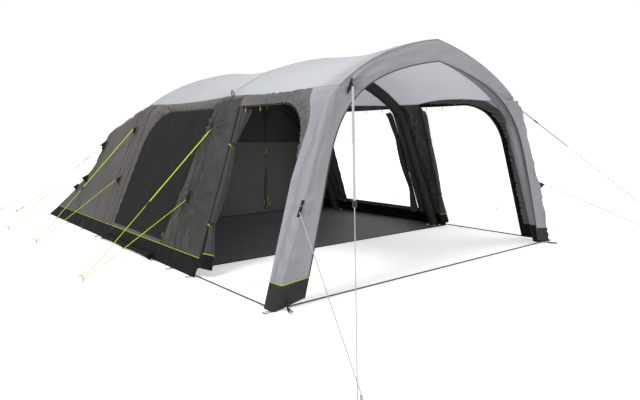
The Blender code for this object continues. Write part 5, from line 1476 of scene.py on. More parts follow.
    def seams(self) -> None:
        """The seam tapes beside the arches and the dark bindings round the openings."""
        builder = Builder()
        for side in Side:
            out, word = side.normal, side.word
            wall, pillar = f"sleeping_wall_{word}", f"pillar_{word}"
            lines = [(wall, SLEEPING, -0.065), (wall, SLEEPING, 0.075), (wall, REAR, -0.12),
                     (pillar, MIDDLE, -0.055), (pillar, MIDDLE, 0.070)]
            for name, arch, shift in lines:
                line = crossing(name, lambda h, a=arch, d=shift: a.y_at(h) + d)
                builder.tube(line + out * 0.0010, self.tape_radius, 6, 0, 0.35, out)
            for name, part in ((wall, Edge.LAST), (pillar, Edge.FIRST), (pillar, Edge.LAST),
                               (f"canopy_band_{word}", Edge.HIGH)):
                builder.tube(edge_of(name, part) + out * 0.0007, 0.0042, 8)
            edge = edge_of(f"living_frame_{word}", Edge.HIGH)
            wave = np.sin(arc(edge[None], 1)[0] * 2 * math.pi / 0.045)[:, None]
            builder.tube(edge + out * (0.004 + 0.004 * wave), 0.0085, 8, 1, 0.5, out)
            frame = edge_of(f"living_frame_{word}", Edge.LOW)
            builder.tube(frame[56:110] + out * 0.0008, 0.0042, 6)
        builder.build("wall_seams", [WALL_SEAM, WEB], angle=60)

    def make(self) -> None:
        """Build both sides."""
        for side in Side:
            self.pillar(side)
            self.band(side)
            self.frame(side)
            self.sleeping(side)
        self.seams()


@dataclass(frozen=True)
class RearWall:
    """The sloping rear wall and the charcoal mud skirts along both sides and the rear."""

    lime_radius: float = 0.0036

    def wall(self, rows: int = 60, half_columns: int = 60) -> None:
        """The rear wall: it falls from the crest to a straight hem along a power curve.

        Args:
            rows: Points from the crest to the hem.
            half_columns: Points from one side to the middle.
        """
        inset, low = CLOTH + 2 * SEAM_GAP, REAR_SKIRT_HEIGHT + SEAM_GAP
        half = np.linspace(EAVE_SHARE, 1, half_columns)
        crest = REAR.points(mirrored(half), inset)
        shares = np.interp(np.linspace(0, 1, rows), [0, 2 / 7, 1], [EAVE_SHARE, 0.5, float(REAR.share_at(low))])
        flat, normal = REAR.outline(shares)
        side = flat - normal * inset
        edge = rear_edge_y(flat[:, 1])
        fall = (side[0, 1] - side[:, 1]) / (side[0, 1] - low)
        fall = np.clip(fall / fall[-1], 0, 1)[:, None]
        shape = ((edge - edge[0]) / (edge[-1] - edge[0]))[:, None]
        share = crest[:, 0] / abs(crest[0, 0])
        crown = 1 - np.abs(share) ** REAR_BELLY_POWER
        hem = edge[-1] + (from_front(LENGTH - REAR_SKIRT_HEIGHT) - edge[-1]) * crown
        y = crest[:, 1] + (hem - crest[:, 1]) * (crown * fall + (1 - crown) * shape) + SEAM_GAP
        z = np.maximum(side[:, 1:2], low) + (crest[:, 2] - side[0, 1]) * (1 - fall)
        grid = xyz(side[:, :1] * share, y, z)
        relief = Relief(81)
        lift = 0.014 * relief.waves(grid, 0.5) + 0.013 * relief.creases(grid, 0.22, (0.15, 0.5, 1.0), 6.0)
        Panel("rear_wall", grid, WALL, Slot.WALL, (0, 1, 0.4), lift, 0.05, rests_on=("sleeve_rear",)).make()

    def skirts(self) -> None:
        """Flat strips at the foot of the side walls and below the rear wall, with slanting creases."""
        for side in Side:
            z = np.linspace(0.0, SKIRT_HEIGHT, 9)[:, None]
            end = from_front(LENGTH - CLOTH)
            rear = np.linspace(end, float(rear_edge_y(SKIRT_HEIGHT)), 9)[:, None]
            start = from_front(CUTS[side].front_foot)
            grid = xyz(side * wall_x(z), start + (rear - start) * np.linspace(0, 1, 190)[None], z)
            relief = Relief(90 + side)
            lift = 0.008 * relief.creases(grid, 0.22, (0.0, 0.7, 1.0), 3.0) + 0.006 * relief.waves(grid, 0.4)
            Panel(f"skirt_{side.word}", grid, SKIRT, Slot.SKIRT, (side, 0, 0.4), lift, 0.02).make()
        tuck = (CLOTH + 2 * SEAM_GAP) * math.hypot(1.0, WALL_LEAN)
        spread = np.linspace(-1, 1, 120)
        crown = 1 - np.abs(spread) ** REAR_BELLY_POWER
        corner = float(rear_edge_y(REAR_SKIRT_HEIGHT))
        high_y = corner + (from_front(LENGTH - REAR_SKIRT_HEIGHT) - corner) * crown
        low = xyz(spread * (wall_x(0.0) - tuck), from_front(LENGTH), 0.0)
        high = xyz(spread * (wall_x(REAR_SKIRT_HEIGHT) - tuck), high_y, REAR_SKIRT_HEIGHT)
        grid = ruled(low, high, 8)
        lift = 0.009 * Relief(95).creases(grid, 0.16, (0.3, 0.0, 1.0), 3.0)
        Panel("skirt_rear", grid, SKIRT, Slot.SKIRT, (0, 1, 0.4), lift, 0.02).make()

    def lime_piping(self) -> None:
        """The lime piping above the cuffs and the skirts, on the outer face alone."""
        builder = Builder()
        size = self.lime_radius
        for side in Side:
            word, out = side.word, side.normal
            leg = SHEETS[f"leg_{word}"]
            normal = grid_normals(leg, np.array([side, -1, 0.3]))[0]
            builder.tube(leg[0] + normal * size * 0.8, size, 8)
            for name in (f"pillar_{word}", f"sleeping_wall_{word}"):
                builder.tube(edge_of(name, Edge.LOW) + out * size * 0.8, size, 8)
            builder.tube(edge_of(f"living_frame_{word}", Edge.LOW)[-54:] + out * size * 0.8, size, 8)
        builder.build("lime_piping", [LIME_TRIM], angle=60)

    def make(self) -> None:
        """Build the rear wall, the skirts and the piping above them."""
        self.wall()
        self.skirts()
        self.lime_piping()


@dataclass(frozen=True)
class MeshDoor:
    """The closed mesh door of the left side with its zip coil."""

    columns: int = 60
    rows: int = 56
    coil_radius: float = 0.0031

    def make(self) -> None:
        """Build the mesh as straight rows between pillar and frame, up to the rounded corner, and its zip."""
        cut, top, gap = CUTS[Side.LEFT], CUTS[Side.LEFT].top, SEAM_GAP
        t = np.linspace(0, 1, self.rows)
        bend = top - DOOR_CORNER_DROP
        z = np.where(t <= 0.6, DOOR_FOOT + gap + (bend - DOOR_FOOT - gap) * t / 0.6,
                     bend + (DOOR_CORNER_DROP - gap) * np.sin(math.pi / 2 * np.clip((t - 0.6) / 0.4, 0, 1)))[:, None]
        share = np.linspace(0, 1, self.columns)[None]
        y = (cut.pillar_rear(z) + gap) * (1 - share) + (door_rear_y(z, top) - gap) * share
        grid = LIVING.wall(Side.LEFT, y, np.broadcast_to(z, y.shape))
        relief = Relief(61)
        lift = 0.012 * relief.waves(grid, 0.50) + 0.006 * relief.creases(grid, 0.36, (0.3, 0.5, 1.0), 3.0)
        Panel("mesh_door_left", grid, NETTING, Slot.MESH, (-1, 0, 0.4), lift, 0.04).make()
        normal = Side.LEFT.normal
        trim = Builder()
        trim.tube(mesh_zip_points(np.linspace(DOOR_FOOT + 0.036, MESH_ZIP_TOP, 40)) + normal * 0.0012,
                  self.coil_radius, 8, flat=0.85, level=normal)
        trim.build("mesh_door_zip_coil", [WEB])


def mesh_zip_points(heights: Points) -> Points:
    """Points of the mesh door's zip at some heights."""
    return xyz(-wall_x(heights), CUTS[Side.LEFT].pillar_rear(heights) + MESH_ZIP_STEP, heights)


def lathe(start: Points, way: Points, profile: Sequence[tuple[float, float]], sides: int = 28,
          ribbed: bool = False) -> Points:
    """Rings turned round a line from places along it and radii.

    Args:
        start: Where the line starts.
        way: Its direction.
        profile: Place along the line and radius of each ring.
        sides: Points round each ring.
        ribbed: Whether the widest rings have grip ribs.

    Returns:
        The rings.
    """
    way = unit(way)
    level = unit(np.cross(way, (0.0, 1.0, 0.0) if abs(way[1]) < 0.9 else (1.0, 0.0, 0.0)))
    other = np.cross(way, level)
    turn = np.linspace(0, 2 * math.pi, sides, endpoint=False)[None, :, None]
    place, radius = (np.array(column)[:, None, None] for column in zip(*profile))
    ribs = 0.035 * (np.arange(sides) % 2)[None, :, None] * (radius > 0.98 * radius.max()) if ribbed else 0.0
    return start + way * place + radius * (1 - ribs) * (np.cos(turn) * level + np.sin(turn) * other)


@dataclass(frozen=True)
class AirTube:
    """One air arch: the bays that cover it, where it lies in each, its sleeve, its film and its valve."""

    word: str
    spots: tuple[tuple[Bay, int, float], ...]
    seed: int
    valve_height: float = 0.46
    valve_reach: float = 0.016
    foot_height: float = 0.19
    film_gap: float = 0.0065
    film_foot: float = 0.012

    def centre_line(self, across: Points) -> Points:
        """Centre line of the tube, as high as its sleeve fits under the cloth.

        Args:
            across: From -1 at the left foot to 1 at the right foot.

        Returns:
            One point for each value.
        """
        bay, end, shift = self.spots[0]
        start = end + shift / (bay.points(1.0, across)[:, 1] - bay.points(0.0, across)[:, 1])
        crest = bay.points(start, across)
        normal = bay.points(start, across, -1.0) - crest
        turn = np.linspace(-1.5, 1.5, 15)[:, None]
        depth = np.zeros(len(across))
        for bay, end, shift in self.spots:
            span = bay.points(1.0, across)[:, 1] - bay.points(0.0, across)[:, 1]
            place = end + (shift + SLEEVE_RADIUS * np.sin(turn)) / span
            cloth = bay.points(np.clip(place, 0, 1), np.broadcast_to(across, place.shape))
            reach = ((crest - cloth) * normal).sum(axis=-1) + SLEEVE_RADIUS * np.cos(turn)
            depth = np.maximum(depth, np.where((place >= 0) & (place <= 1), reach, 0.0).max(axis=0))
        if len(crest) > 1:
            steps = unit(np.diff(crest[:, [0, 2]], axis=0))
            steps = np.concatenate([steps[:1], steps, steps[-1:]])
            sides = np.stack([-steps[:, 1], steps[:, 0]], axis=-1)
            total = sides[:-1] + sides[1:]
            total = total / (total * sides[:-1]).sum(axis=1, keepdims=True)
            normal = xyz(total[:, 0], 0.0, total[:, 1])
        return crest - normal * (depth + CLOTH + 0.0008)[:, None]

    def rings(self, radius: float, foot: float, sides: int, crumple: float = 0.0) -> Points:
        """Rings of the tube, with level ends and shallow creases.

        Args:
            radius: Radius of the tube.
            foot: Height of its ends.
            sides: Points round it.
            crumple: Depth of its creases.

        Returns:
            The rings from the left foot to the right.
        """
        half = np.concatenate([np.linspace(0, 0.5, 30)[:-1], np.linspace(0.5, 1, 42)])
        path = self.centre_line(mirrored(half))
        tangent = tangents(path)
        level = np.array([0.0, 1.0, 0.0])
        side = unit(level - tangent * (tangent @ level)[:, None])[:, None]
        up = np.cross(side, tangent[:, None])
        turn = np.linspace(0, 2 * math.pi, sides, endpoint=False)[None, :, None]
        way = np.cos(turn) * up + np.sin(turn) * side
        rings = path[:, None] + radius * way
        if crumple > 0:
            rings = rings - way * (crumple * Relief(self.seed).creases(rings, 0.09, (0.2, 0.3, 1.0), 2.0))[..., None]
        ends = [0, -1]
        along = tangent[ends][:, None]
        rings[ends] += along * ((foot - rings[ends][..., 2:3]) / along[..., 2:3])
        rings[..., 2] = np.maximum(rings[..., 2], foot)
        return rings

    def make(self) -> None:
        """Build the sleeve, the film with its valve body, and the valve's cap."""
        word, inward = self.word, -Side.LEFT.normal
        sleeve = Builder()
        rings = self.rings(SLEEVE_RADIUS - 0.0002, 0.0, 24, 0.0022)
        sleeve.rings(rings)
        front = word == "front"
        piece = sleeve.build(f"sleeve_{word}", (GABLE, SKIRT) if front else (SLEEVE,),
                             (f"sleeve_{word}",))
        if front:
            centres = np.array([face.center.z for face in piece.data.polygons])
            piece.data.polygons.foreach_set("material_index", (centres < self.foot_height).astype(np.int32))
        centre = self.centre_line(np.array([float(FRONT.share_at(self.valve_height)) - 1]))[0]
        reach = SLEEVE_RADIUS + self.valve_reach
        film = Builder()
        film.rings(self.rings(SLEEVE_RADIUS - self.film_gap, self.film_foot, 16))
        film.rings(lathe(centre, inward, [(0.0, 0.016), (reach - 0.014, 0.016), (reach - 0.0135, 0.027),
                                          (reach - 0.0105, 0.027), (reach - 0.010, 0.018), (reach, 0.0165)]), 1)
        film.build(f"air_tube_{word}", (FILM, PLASTIC), (f"air_tube_{word}",))
        seat = centre + inward * (reach + TOUCH_GAP)
        cap = Builder()
        cap.rings(lathe(seat, inward, [(0.0, 0.0225), (0.0012, 0.0238), (0.0085, 0.0238), (0.0098, 0.0218),
                                       (0.0100, 0.010)], 48, True))
        cap.block(seat + inward * 0.0135, (0, 1, 0), np.cross(inward, (0.0, 1.0, 0.0)), (0.040, 0.0068, 0.0080),
                  bevel=0.35)
        cap.build(f"valve_cap_{word}_knob", (PLASTIC,), (f"valve_cap_{word}",), f"valve_cap_{word}", 35)


AIR_TUBES = (AirTube("front", ((CANOPY, 0, 0.09),), 100),
             AirTube("middle", ((CANOPY, 1, 0.0), (LIVING, 0, 0.0)), 101),
             AirTube("sleeping", ((LIVING, 1, 0.0), (BEDROOM, 0, 0.0)), 102),
             AirTube("rear", ((BEDROOM, 1, -REAR_CREST_BACK),), 103))


@dataclass(frozen=True)
class Groundsheet:
    """The floor of the living and the sleeping bay, with notches for the feet of the arches."""

    notch_depth: float = 0.16
    rear_gap: float = 0.05
    clearance: float = 0.012
    hem_radius: float = 0.010

    def make(self) -> None:
        """Build the floor with faint ripples and its dark front hem."""
        edge = wall_x(GROUNDSHEET_THICKNESS) - CLOTH * math.hypot(1.0, WALL_LEAN) - TOUCH_GAP
        notch = edge - self.notch_depth
        front, rear = from_front(FLOOR_FRONT), from_front(LENGTH - self.rear_gap)
        half = SLEEVE_RADIUS + self.clearance
        middles = [MIDDLE.foot_y, SLEEPING.foot_y, REAR.foot_y - REAR_CREST_BACK]
        cuts = [(max(middle - half, front), middle + half) for middle in middles]
        ends = sorted({front, rear, *[end for cut in cuts for end in cut]})
        y = np.unique(np.concatenate([np.linspace(a, b, steps_of(b - a, 0.035)) for a, b in zip(ends, ends[1:])]))
        x = np.unique(np.concatenate([np.linspace(-edge, -notch, 5), np.linspace(-notch, notch, 104),
                                      np.linspace(notch, edge, 5)]))
        x = x[::-1]
        grid = xyz(x, y[:, None], GROUNDSHEET_THICKNESS)
        relief = Relief(120)
        lift = 0.005 * relief.creases(grid, 0.35, (1.0, 0.2, 0.0), 5.0) + 0.004 * relief.waves(grid, 0.6)
        grid[..., 2] += lift * smooth((BEDROOM_Y - 0.12 - grid[..., 1]) / 0.15) * border(grid, 0.2)
        middle_y, middle_x = (y[:-1] + y[1:]) / 2, (x[:-1] + x[1:]) / 2
        cut_y = np.any([(middle_y > low) & (middle_y < high) for low, high in cuts], axis=0)
        builder = Builder()
        builder.sheet(grid, grid * (1.0, 1.0, 0.0), ~(cut_y[:, None] & (np.abs(middle_x) > notch)))
        piece = builder.build("groundsheet", (FLOOR,), ("groundsheet",))
        hem = Builder()
        path = xyz(np.linspace(-notch + 0.01, notch - 0.01, 90), front + 0.004, 0.0052)
        hem.tube(path, self.hem_radius, 8, flat=0.40)
        hem.build("floor_front_hem", (WEB,), angle=60)


@dataclass(frozen=True)
class Bedroom:
    """The bedroom's front wall with its two zipped doors, and the inner tent behind it."""

    inset: float = 0.006
    mesh_line: float = 1.14
    zip_top: float = 1.62
    tape_top: float = 1.84
    tape_gap: float = 0.024
    tape_width: float = 0.015
    inner_inset: float = 0.20
    rear_gap: float = 0.22
    inner_run: tuple[float, float] = (0.36, 0.84)
    pulls: tuple[Triple, ...] = ((-0.035, 1.80, 0.09), (0.030, 1.79, 0.16), (0.055, 1.80, 0.10), (0.0, 1.05, 0.12),
                                 (-0.035, 0.22, 0.08), (0.030, 0.28, 0.16), (0.075, 0.20, 0.08))
    door_bow: tuple[tuple[float, float], ...] = ((0.72, 1.60), (1.16, 1.52), (1.37, 1.22), (1.41, 0.90), (1.40, 0.50),
                                                 (1.35, 0.20), (1.20, 0.085), (0.72, 0.075))

    def outline(self) -> Points:
        """Half outline of the front wall under the cloth.

        Returns:
            Points (x, z) from the foot up.
        """
        first, last = float(SLEEPING.y_at(SLEEPING.apex)), float(REAR.y_at(REAR.apex))
        share = np.linspace(0, 0.999, 400)
        line = BEDROOM.points((BEDROOM_Y - first) / (last - first), 1 - share, self.inset)
        return np.stack([line[:, 0], np.maximum(line[:, 2], GROUNDSHEET_THICKNESS + TOUCH_GAP)], -1)

    def front(self, table: Points) -> None:
        """Cloth below and mesh above, with creases that calm down beside the zips.

        Args:
            table: Half outline of the wall.
        """
        relief = Relief(130)
        floor = GROUNDSHEET_THICKNESS + TOUCH_GAP
        for name, low, high, finish, slot, nodes in (
                ("bedroom_front_cloth", floor, self.mesh_line, INNER, Slot.INNER, ("bedroom_front",)),
                ("bedroom_front_mesh", self.mesh_line, float(table[-1, 1]) - 0.002, NET_INNER, Slot.MESH, ())):
            z = np.linspace(low, high, steps_of(high - low, 0.03))
            wide = np.interp(z, table[:, 1], table[:, 0])
            x = wide[:, None] * np.linspace(-1, 1, 110)[None]
            grid = xyz(x, BEDROOM_Y, z[:, None])
            beside = np.minimum(np.abs(np.abs(x) - ZIP_HALF_SPREAD) / 0.12, 1.0)
            lift = 0.014 * relief.creases(grid, 0.22, (0.12, 0.0, 1.0), 7.0) + 0.008 * relief.waves(grid, 0.5)
            Panel(name, grid, finish, slot, (0, -1, 0), lift * beside, 0.03, held="hung",
                  rests_on=("sleeve_sleeping",), nodes=nodes).make()

    def trim(self, table: Points) -> None:
        """Zip coils and tapes, the outlines of the two doors, the seams and the lime pulls.

        Args:
            table: Half outline of the wall.
        """
        trim = Builder()
        y = BEDROOM_Y - 0.0025
        z = np.linspace(ZIP_FOOT, self.zip_top, 60)

        def flat_line(x: Points, depth: float, height: Points) -> Points:
            """A line of 60 points in front of the wall."""
            return xyz(x + np.zeros(60), y + depth, height)

        bow = np.array(self.door_bow)
        turn = np.linspace(0, len(bow) - 1, 60)
        bow_x, bow_z = (np.interp(turn, np.arange(len(bow)), bow[:, k]) for k in range(2))
        for _ in range(5):
            for line in (bow_x, bow_z):
                line[1:-1] = (line[:-2] + line[1:-1] * 2 + line[2:]) / 4
        for side in Side:
            zip_x = side * ZIP_HALF_SPREAD
            trim.tube(flat_line(zip_x, 0.001, z), 0.0030, 8, 0, 0.9, (0, 1, 0))
            for edge in (-self.tape_gap, self.tape_gap):
                trim.tube(flat_line(zip_x + edge, 0.002, np.linspace(ZIP_FOOT, self.tape_top, 60)), self.tape_width, 6,
                          0, 0.10, (0, 1, 0))
            trim.tube(flat_line(side * bow_x, -0.003, bow_z), 0.0055, 8, 0, 0.6, (0, 1, 0))
            for shift, top, long in self.pulls:
                x = zip_x + side * shift
                trim.tube(np.array([(x, y - 0.004, top), (x + 0.002, y - 0.008, top - long / 2),
                                    (x, y - 0.004, top - long)]), 0.0045, 6, 1, 0.5, (0, 1, 0))
        wide = float(np.interp(self.mesh_line, table[:, 1], table[:, 0])) * 0.995
        trim.tube(flat_line(np.linspace(-wide, wide, 60), -0.002, self.mesh_line), 0.008, 6, 0, 0.3, (0, 1, 0))
        trim.tube(flat_line(np.linspace(-1.90, 1.90, 60), -0.002, 0.012), 0.006, 6, 0, 0.6, (0, 1, 0))
        trim.build("bedroom_front_trim", (WEB, LIME_TRIM))

    def inner_tent(self) -> None:
        """The breathable inner tent: the bay drawn in, then straight down to its rear hem."""
        share = np.concatenate([np.linspace(0.0, 0.5, 22)[:-1], np.linspace(0.5, 1, 44)])
        across = mirrored(share)
        floor = GROUNDSHEET_THICKNESS + TOUCH_GAP
        first = BEDROOM.points(np.linspace(*self.inner_run, 26)[:, None], across, self.inner_inset)
        last = first[-1]
        hem = xyz(last[:, 0], from_front(LENGTH - self.rear_gap), floor)
        step = np.linspace(0, 1, 44)[1:, None, None]
        grid = np.concatenate([first, last * (1 - step) + hem * step])
        grid[..., 2] = np.maximum(grid[..., 2], floor)
        relief = Relief(140)
        lift = 0.012 * relief.waves(grid, 0.4) + 0.006 * relief.creases(grid, 0.2, (0.2, 1.0, 0.6), 5.0)
        Panel("inner_tent", grid, INNER, Slot.INNER, (0, 0.2, 1), lift, 0.08, held="hung",
              rests_on=("sleeve_rear",)).make()

    def make(self) -> None:
        """Build the front wall, its trim and the inner tent."""
        table = self.outline()
        self.front(table)
        self.trim(table)
        self.inner_tent()


TIE_SHARES = (0.25, 0.75)


@dataclass(frozen=True)
class DoorRoll:
    """One door rolled up and tied to the edge of its opening, from the top of the opening to its foot.

    The roll is squeezed at its two ties and spreads at both ends. Its centre keeps the roll touching the wall's
    inner face: its distance under the cloth follows from the radius and from its step away from the edge.
    """

    name: str
    side: Side
    bay: Bay
    foot: float
    contact: float
    seed: int
    radius: float = 0.044
    rows: int = 110
    hem_height: float = 0.19
    rise: float = 0.06
    waist: float = 0.68
    end_share: float = 0.2
    flare: float = 0.5
    step_share: float = 0.55

    def line(self) -> tuple[Points, Points]:
        """Centre line and radii of the roll.

        Returns:
            Points from the top down, and the radius at each.
        """
        cut, direction = CUTS[self.side], -1 if self.bay is CANOPY else 1
        edge = cut.pillar_front if direction < 0 else cut.pillar_rear
        share = np.linspace(0, 1, self.rows)
        waist = self.waist + (1 - self.waist) * np.abs(np.cos(share * math.pi * 2))
        ends = np.clip(1 - (0.5 - np.abs(share - 0.5)) / self.end_share, 0, 1)
        left = self.side is Side.LEFT
        radii = self.radius * waist * (1 + self.flare * ends * ((share > 0.5) | left))
        start = cut.top + self.rise * left - radii[0] * (1 + Side.RIGHT.normal[2]) / 2
        height = start + (self.foot - start) * share
        step = self.step_share * radii
        inside = np.sqrt((self.contact * radii + 0.0003) ** 2 - step ** 2)
        y = edge(height)
        if direction < 0:
            pull = np.interp(share, [0.75, 0.875, 1.0], [0.0, 1.0, 1.0])
            y = y + (np.minimum(y, edge(0.0)) - y) * pull
        centre = self.bay.wall(self.side, y, height, CLOTH + inside)
        centre[:, 1] += direction * step
        return centre, radii

    def make(self) -> None:
        """Build the roll, its dark hem, its ties and the small lime loops at the pillar's edge."""
        line, radii = self.line()
        builder = Builder()
        rings = roll_rings(line, radii, (0.0, 1.0, 0.0), self.seed)
        builder.rings(rings)
        piece = builder.build(self.name, (PILLAR, SKIRT), (self.name,), angle=60)
        ties = Builder()
        if self.bay is CANOPY:
            at = int(np.argmin(np.abs(line[:, 2] - self.hem_height)))
            way = unit(line[at] - line[at - 1])
            past = np.array([(np.array(face.center) - line[at]) @ way > 0 for face in piece.data.polygons])
            piece.data.polygons.foreach_set("material_index", past.astype(np.int32))
            ties.tube(rings[at, np.arange(-1, rings.shape[1] + 1) % rings.shape[1]], 0.0036, 6, 1)
        for share in TIE_SHARES:
            at = int(share * (self.rows - 1))
            way = unit(line[at + 1] - line[at - 1])
            tie(ties, line[at], way, float(radii[at]))
            edge = CUTS[self.side].pillar_front if self.bay is CANOPY else CUTS[self.side].pillar_rear
            height = line[at, 2]
            root = self.bay.wall(self.side, np.array([float(edge(height))]), np.array([height]), -0.006)[0]
            step = -1 if self.bay is CANOPY else 1
            out = self.side.normal
            knot = root + np.array([0.0, step * 0.010, 0.004]) + out * 0.004
            tail = np.array([root, knot, knot + np.array([0.0, step * 0.022, -0.006]),
                             knot + np.array([0.0, step * 0.034, -0.022])])
            ties.tube(tail, np.array([0.0030, 0.0050, 0.0046, 0.0030]), 8, 1, 0.7, out)
        ties.build(f"{self.name}_ties", (WEB, LIME_TRIM))


def roll_rings(line: Points, radii: Points, way: Sequence[float], seed: int, sides: int = 56) -> Points:
    """Rings of a cloth roll: four turning lobes, an edge that laps over and slanting creases within its radii.

    Args:
        line: Its centre line.
        radii: Its radius at each point.
        way: Direction of the first point of each ring.
        seed: Seed of the creases.
        sides: Points round it.

    Returns:
        The rings.
    """
    turn = np.linspace(0, 2 * math.pi, sides, endpoint=False)[None]
    ahead = unit(line[-1] - line[0])
    way = np.asarray(way, float)
    side = unit(way - ahead * (way @ ahead))
    other = np.cross(ahead, side)
    share = np.linspace(0, 1, len(line))[:, None]
    run = share * np.linalg.norm(line[-1] - line[0])
    phases = np.random.default_rng(seed).uniform(0, 6, 4)
    swell = 0.93 + 0.07 * np.cos(4 * turn + 6.3 * share)
    lap = np.mod(turn + 3.2 * share + 0.25 * np.sin(run * 19 + phases[0]), 2 * math.pi) / (2 * math.pi)
    swell = swell - 0.11 * np.clip(1 - lap / 0.5, 0, 1) * (lap > 0.03)
    for count, twist, depth, start in ((5, 5.5, 0.055, phases[1]), (7, -3.6, 0.040, phases[2])):
        swell = swell - depth * (1 - np.abs(np.sin((count * turn + twist * run + start) / 2)) ** 0.5)
    swell = swell - 0.025 * (1 + np.sin(run * 46 + 3 * np.sin(turn * 2 + phases[3]))) / 2
    reach = (radii[:, None] * swell)[..., None]
    return line[:, None] + reach * (np.cos(turn)[..., None] * side + np.sin(turn)[..., None] * other)


def tie(builder: Builder, centre: Points, way: Points, radius: float) -> None:
    """A webbing strap round a roll.

    Args:
        builder: Where it is added.
        centre: Its middle.
        way: Direction of the roll.
        radius: Radius of the roll there.
    """
    builder.rings(lathe(centre, way, [(-0.010, radius * 0.9), (-0.009, radius * 1.02), (0.009, radius * 1.02),
                                      (0.010, radius * 0.9)], 32))


DOOR_ROLLS = (DoorRoll("canopy_door_roll_left", Side.LEFT, CANOPY, 0.09, 0.978, 150),
              DoorRoll("canopy_door_roll_right", Side.RIGHT, CANOPY, 0.09, 0.978, 151),
              DoorRoll("living_door_roll_right", Side.RIGHT, LIVING, DOOR_FOOT, 1.0, 152))


@dataclass(frozen=True)
class BaseRoll:
    """The rolled ground flap at the foot of the mesh door."""

    radius: float = 0.036
    start: float = 2.10
    length: float = 1.42
    rows: int = 130
    squeeze: float = 0.32

    def make(self) -> None:
        """Build the dark roll with its two ties."""
        height = self.radius + TOUCH_GAP
        share = np.linspace(0, 1, self.rows)
        x = -(wall_x(height) + height * math.hypot(1.0, WALL_LEAN))
        y = from_front(self.start + self.length * share)
        line = xyz(x, y, height)
        radii = self.radius * (1 - self.squeeze * np.abs(np.sin(share * math.pi * 2)))
        builder = Builder()
        builder.rings(roll_rings(line, radii, Side.LEFT.normal, 160))
        builder.build("base_flap_roll", (SKIRT,), ("base_flap_roll",), angle=60)
        ties = Builder()
        for tie_share in TIE_SHARES:
            at = int(tie_share * (self.rows - 1))
            tie(ties, line[at], np.array([0.0, 1.0, 0.0]), float(radii[at]))
        ties.build("base_flap_ties", (WEB,))


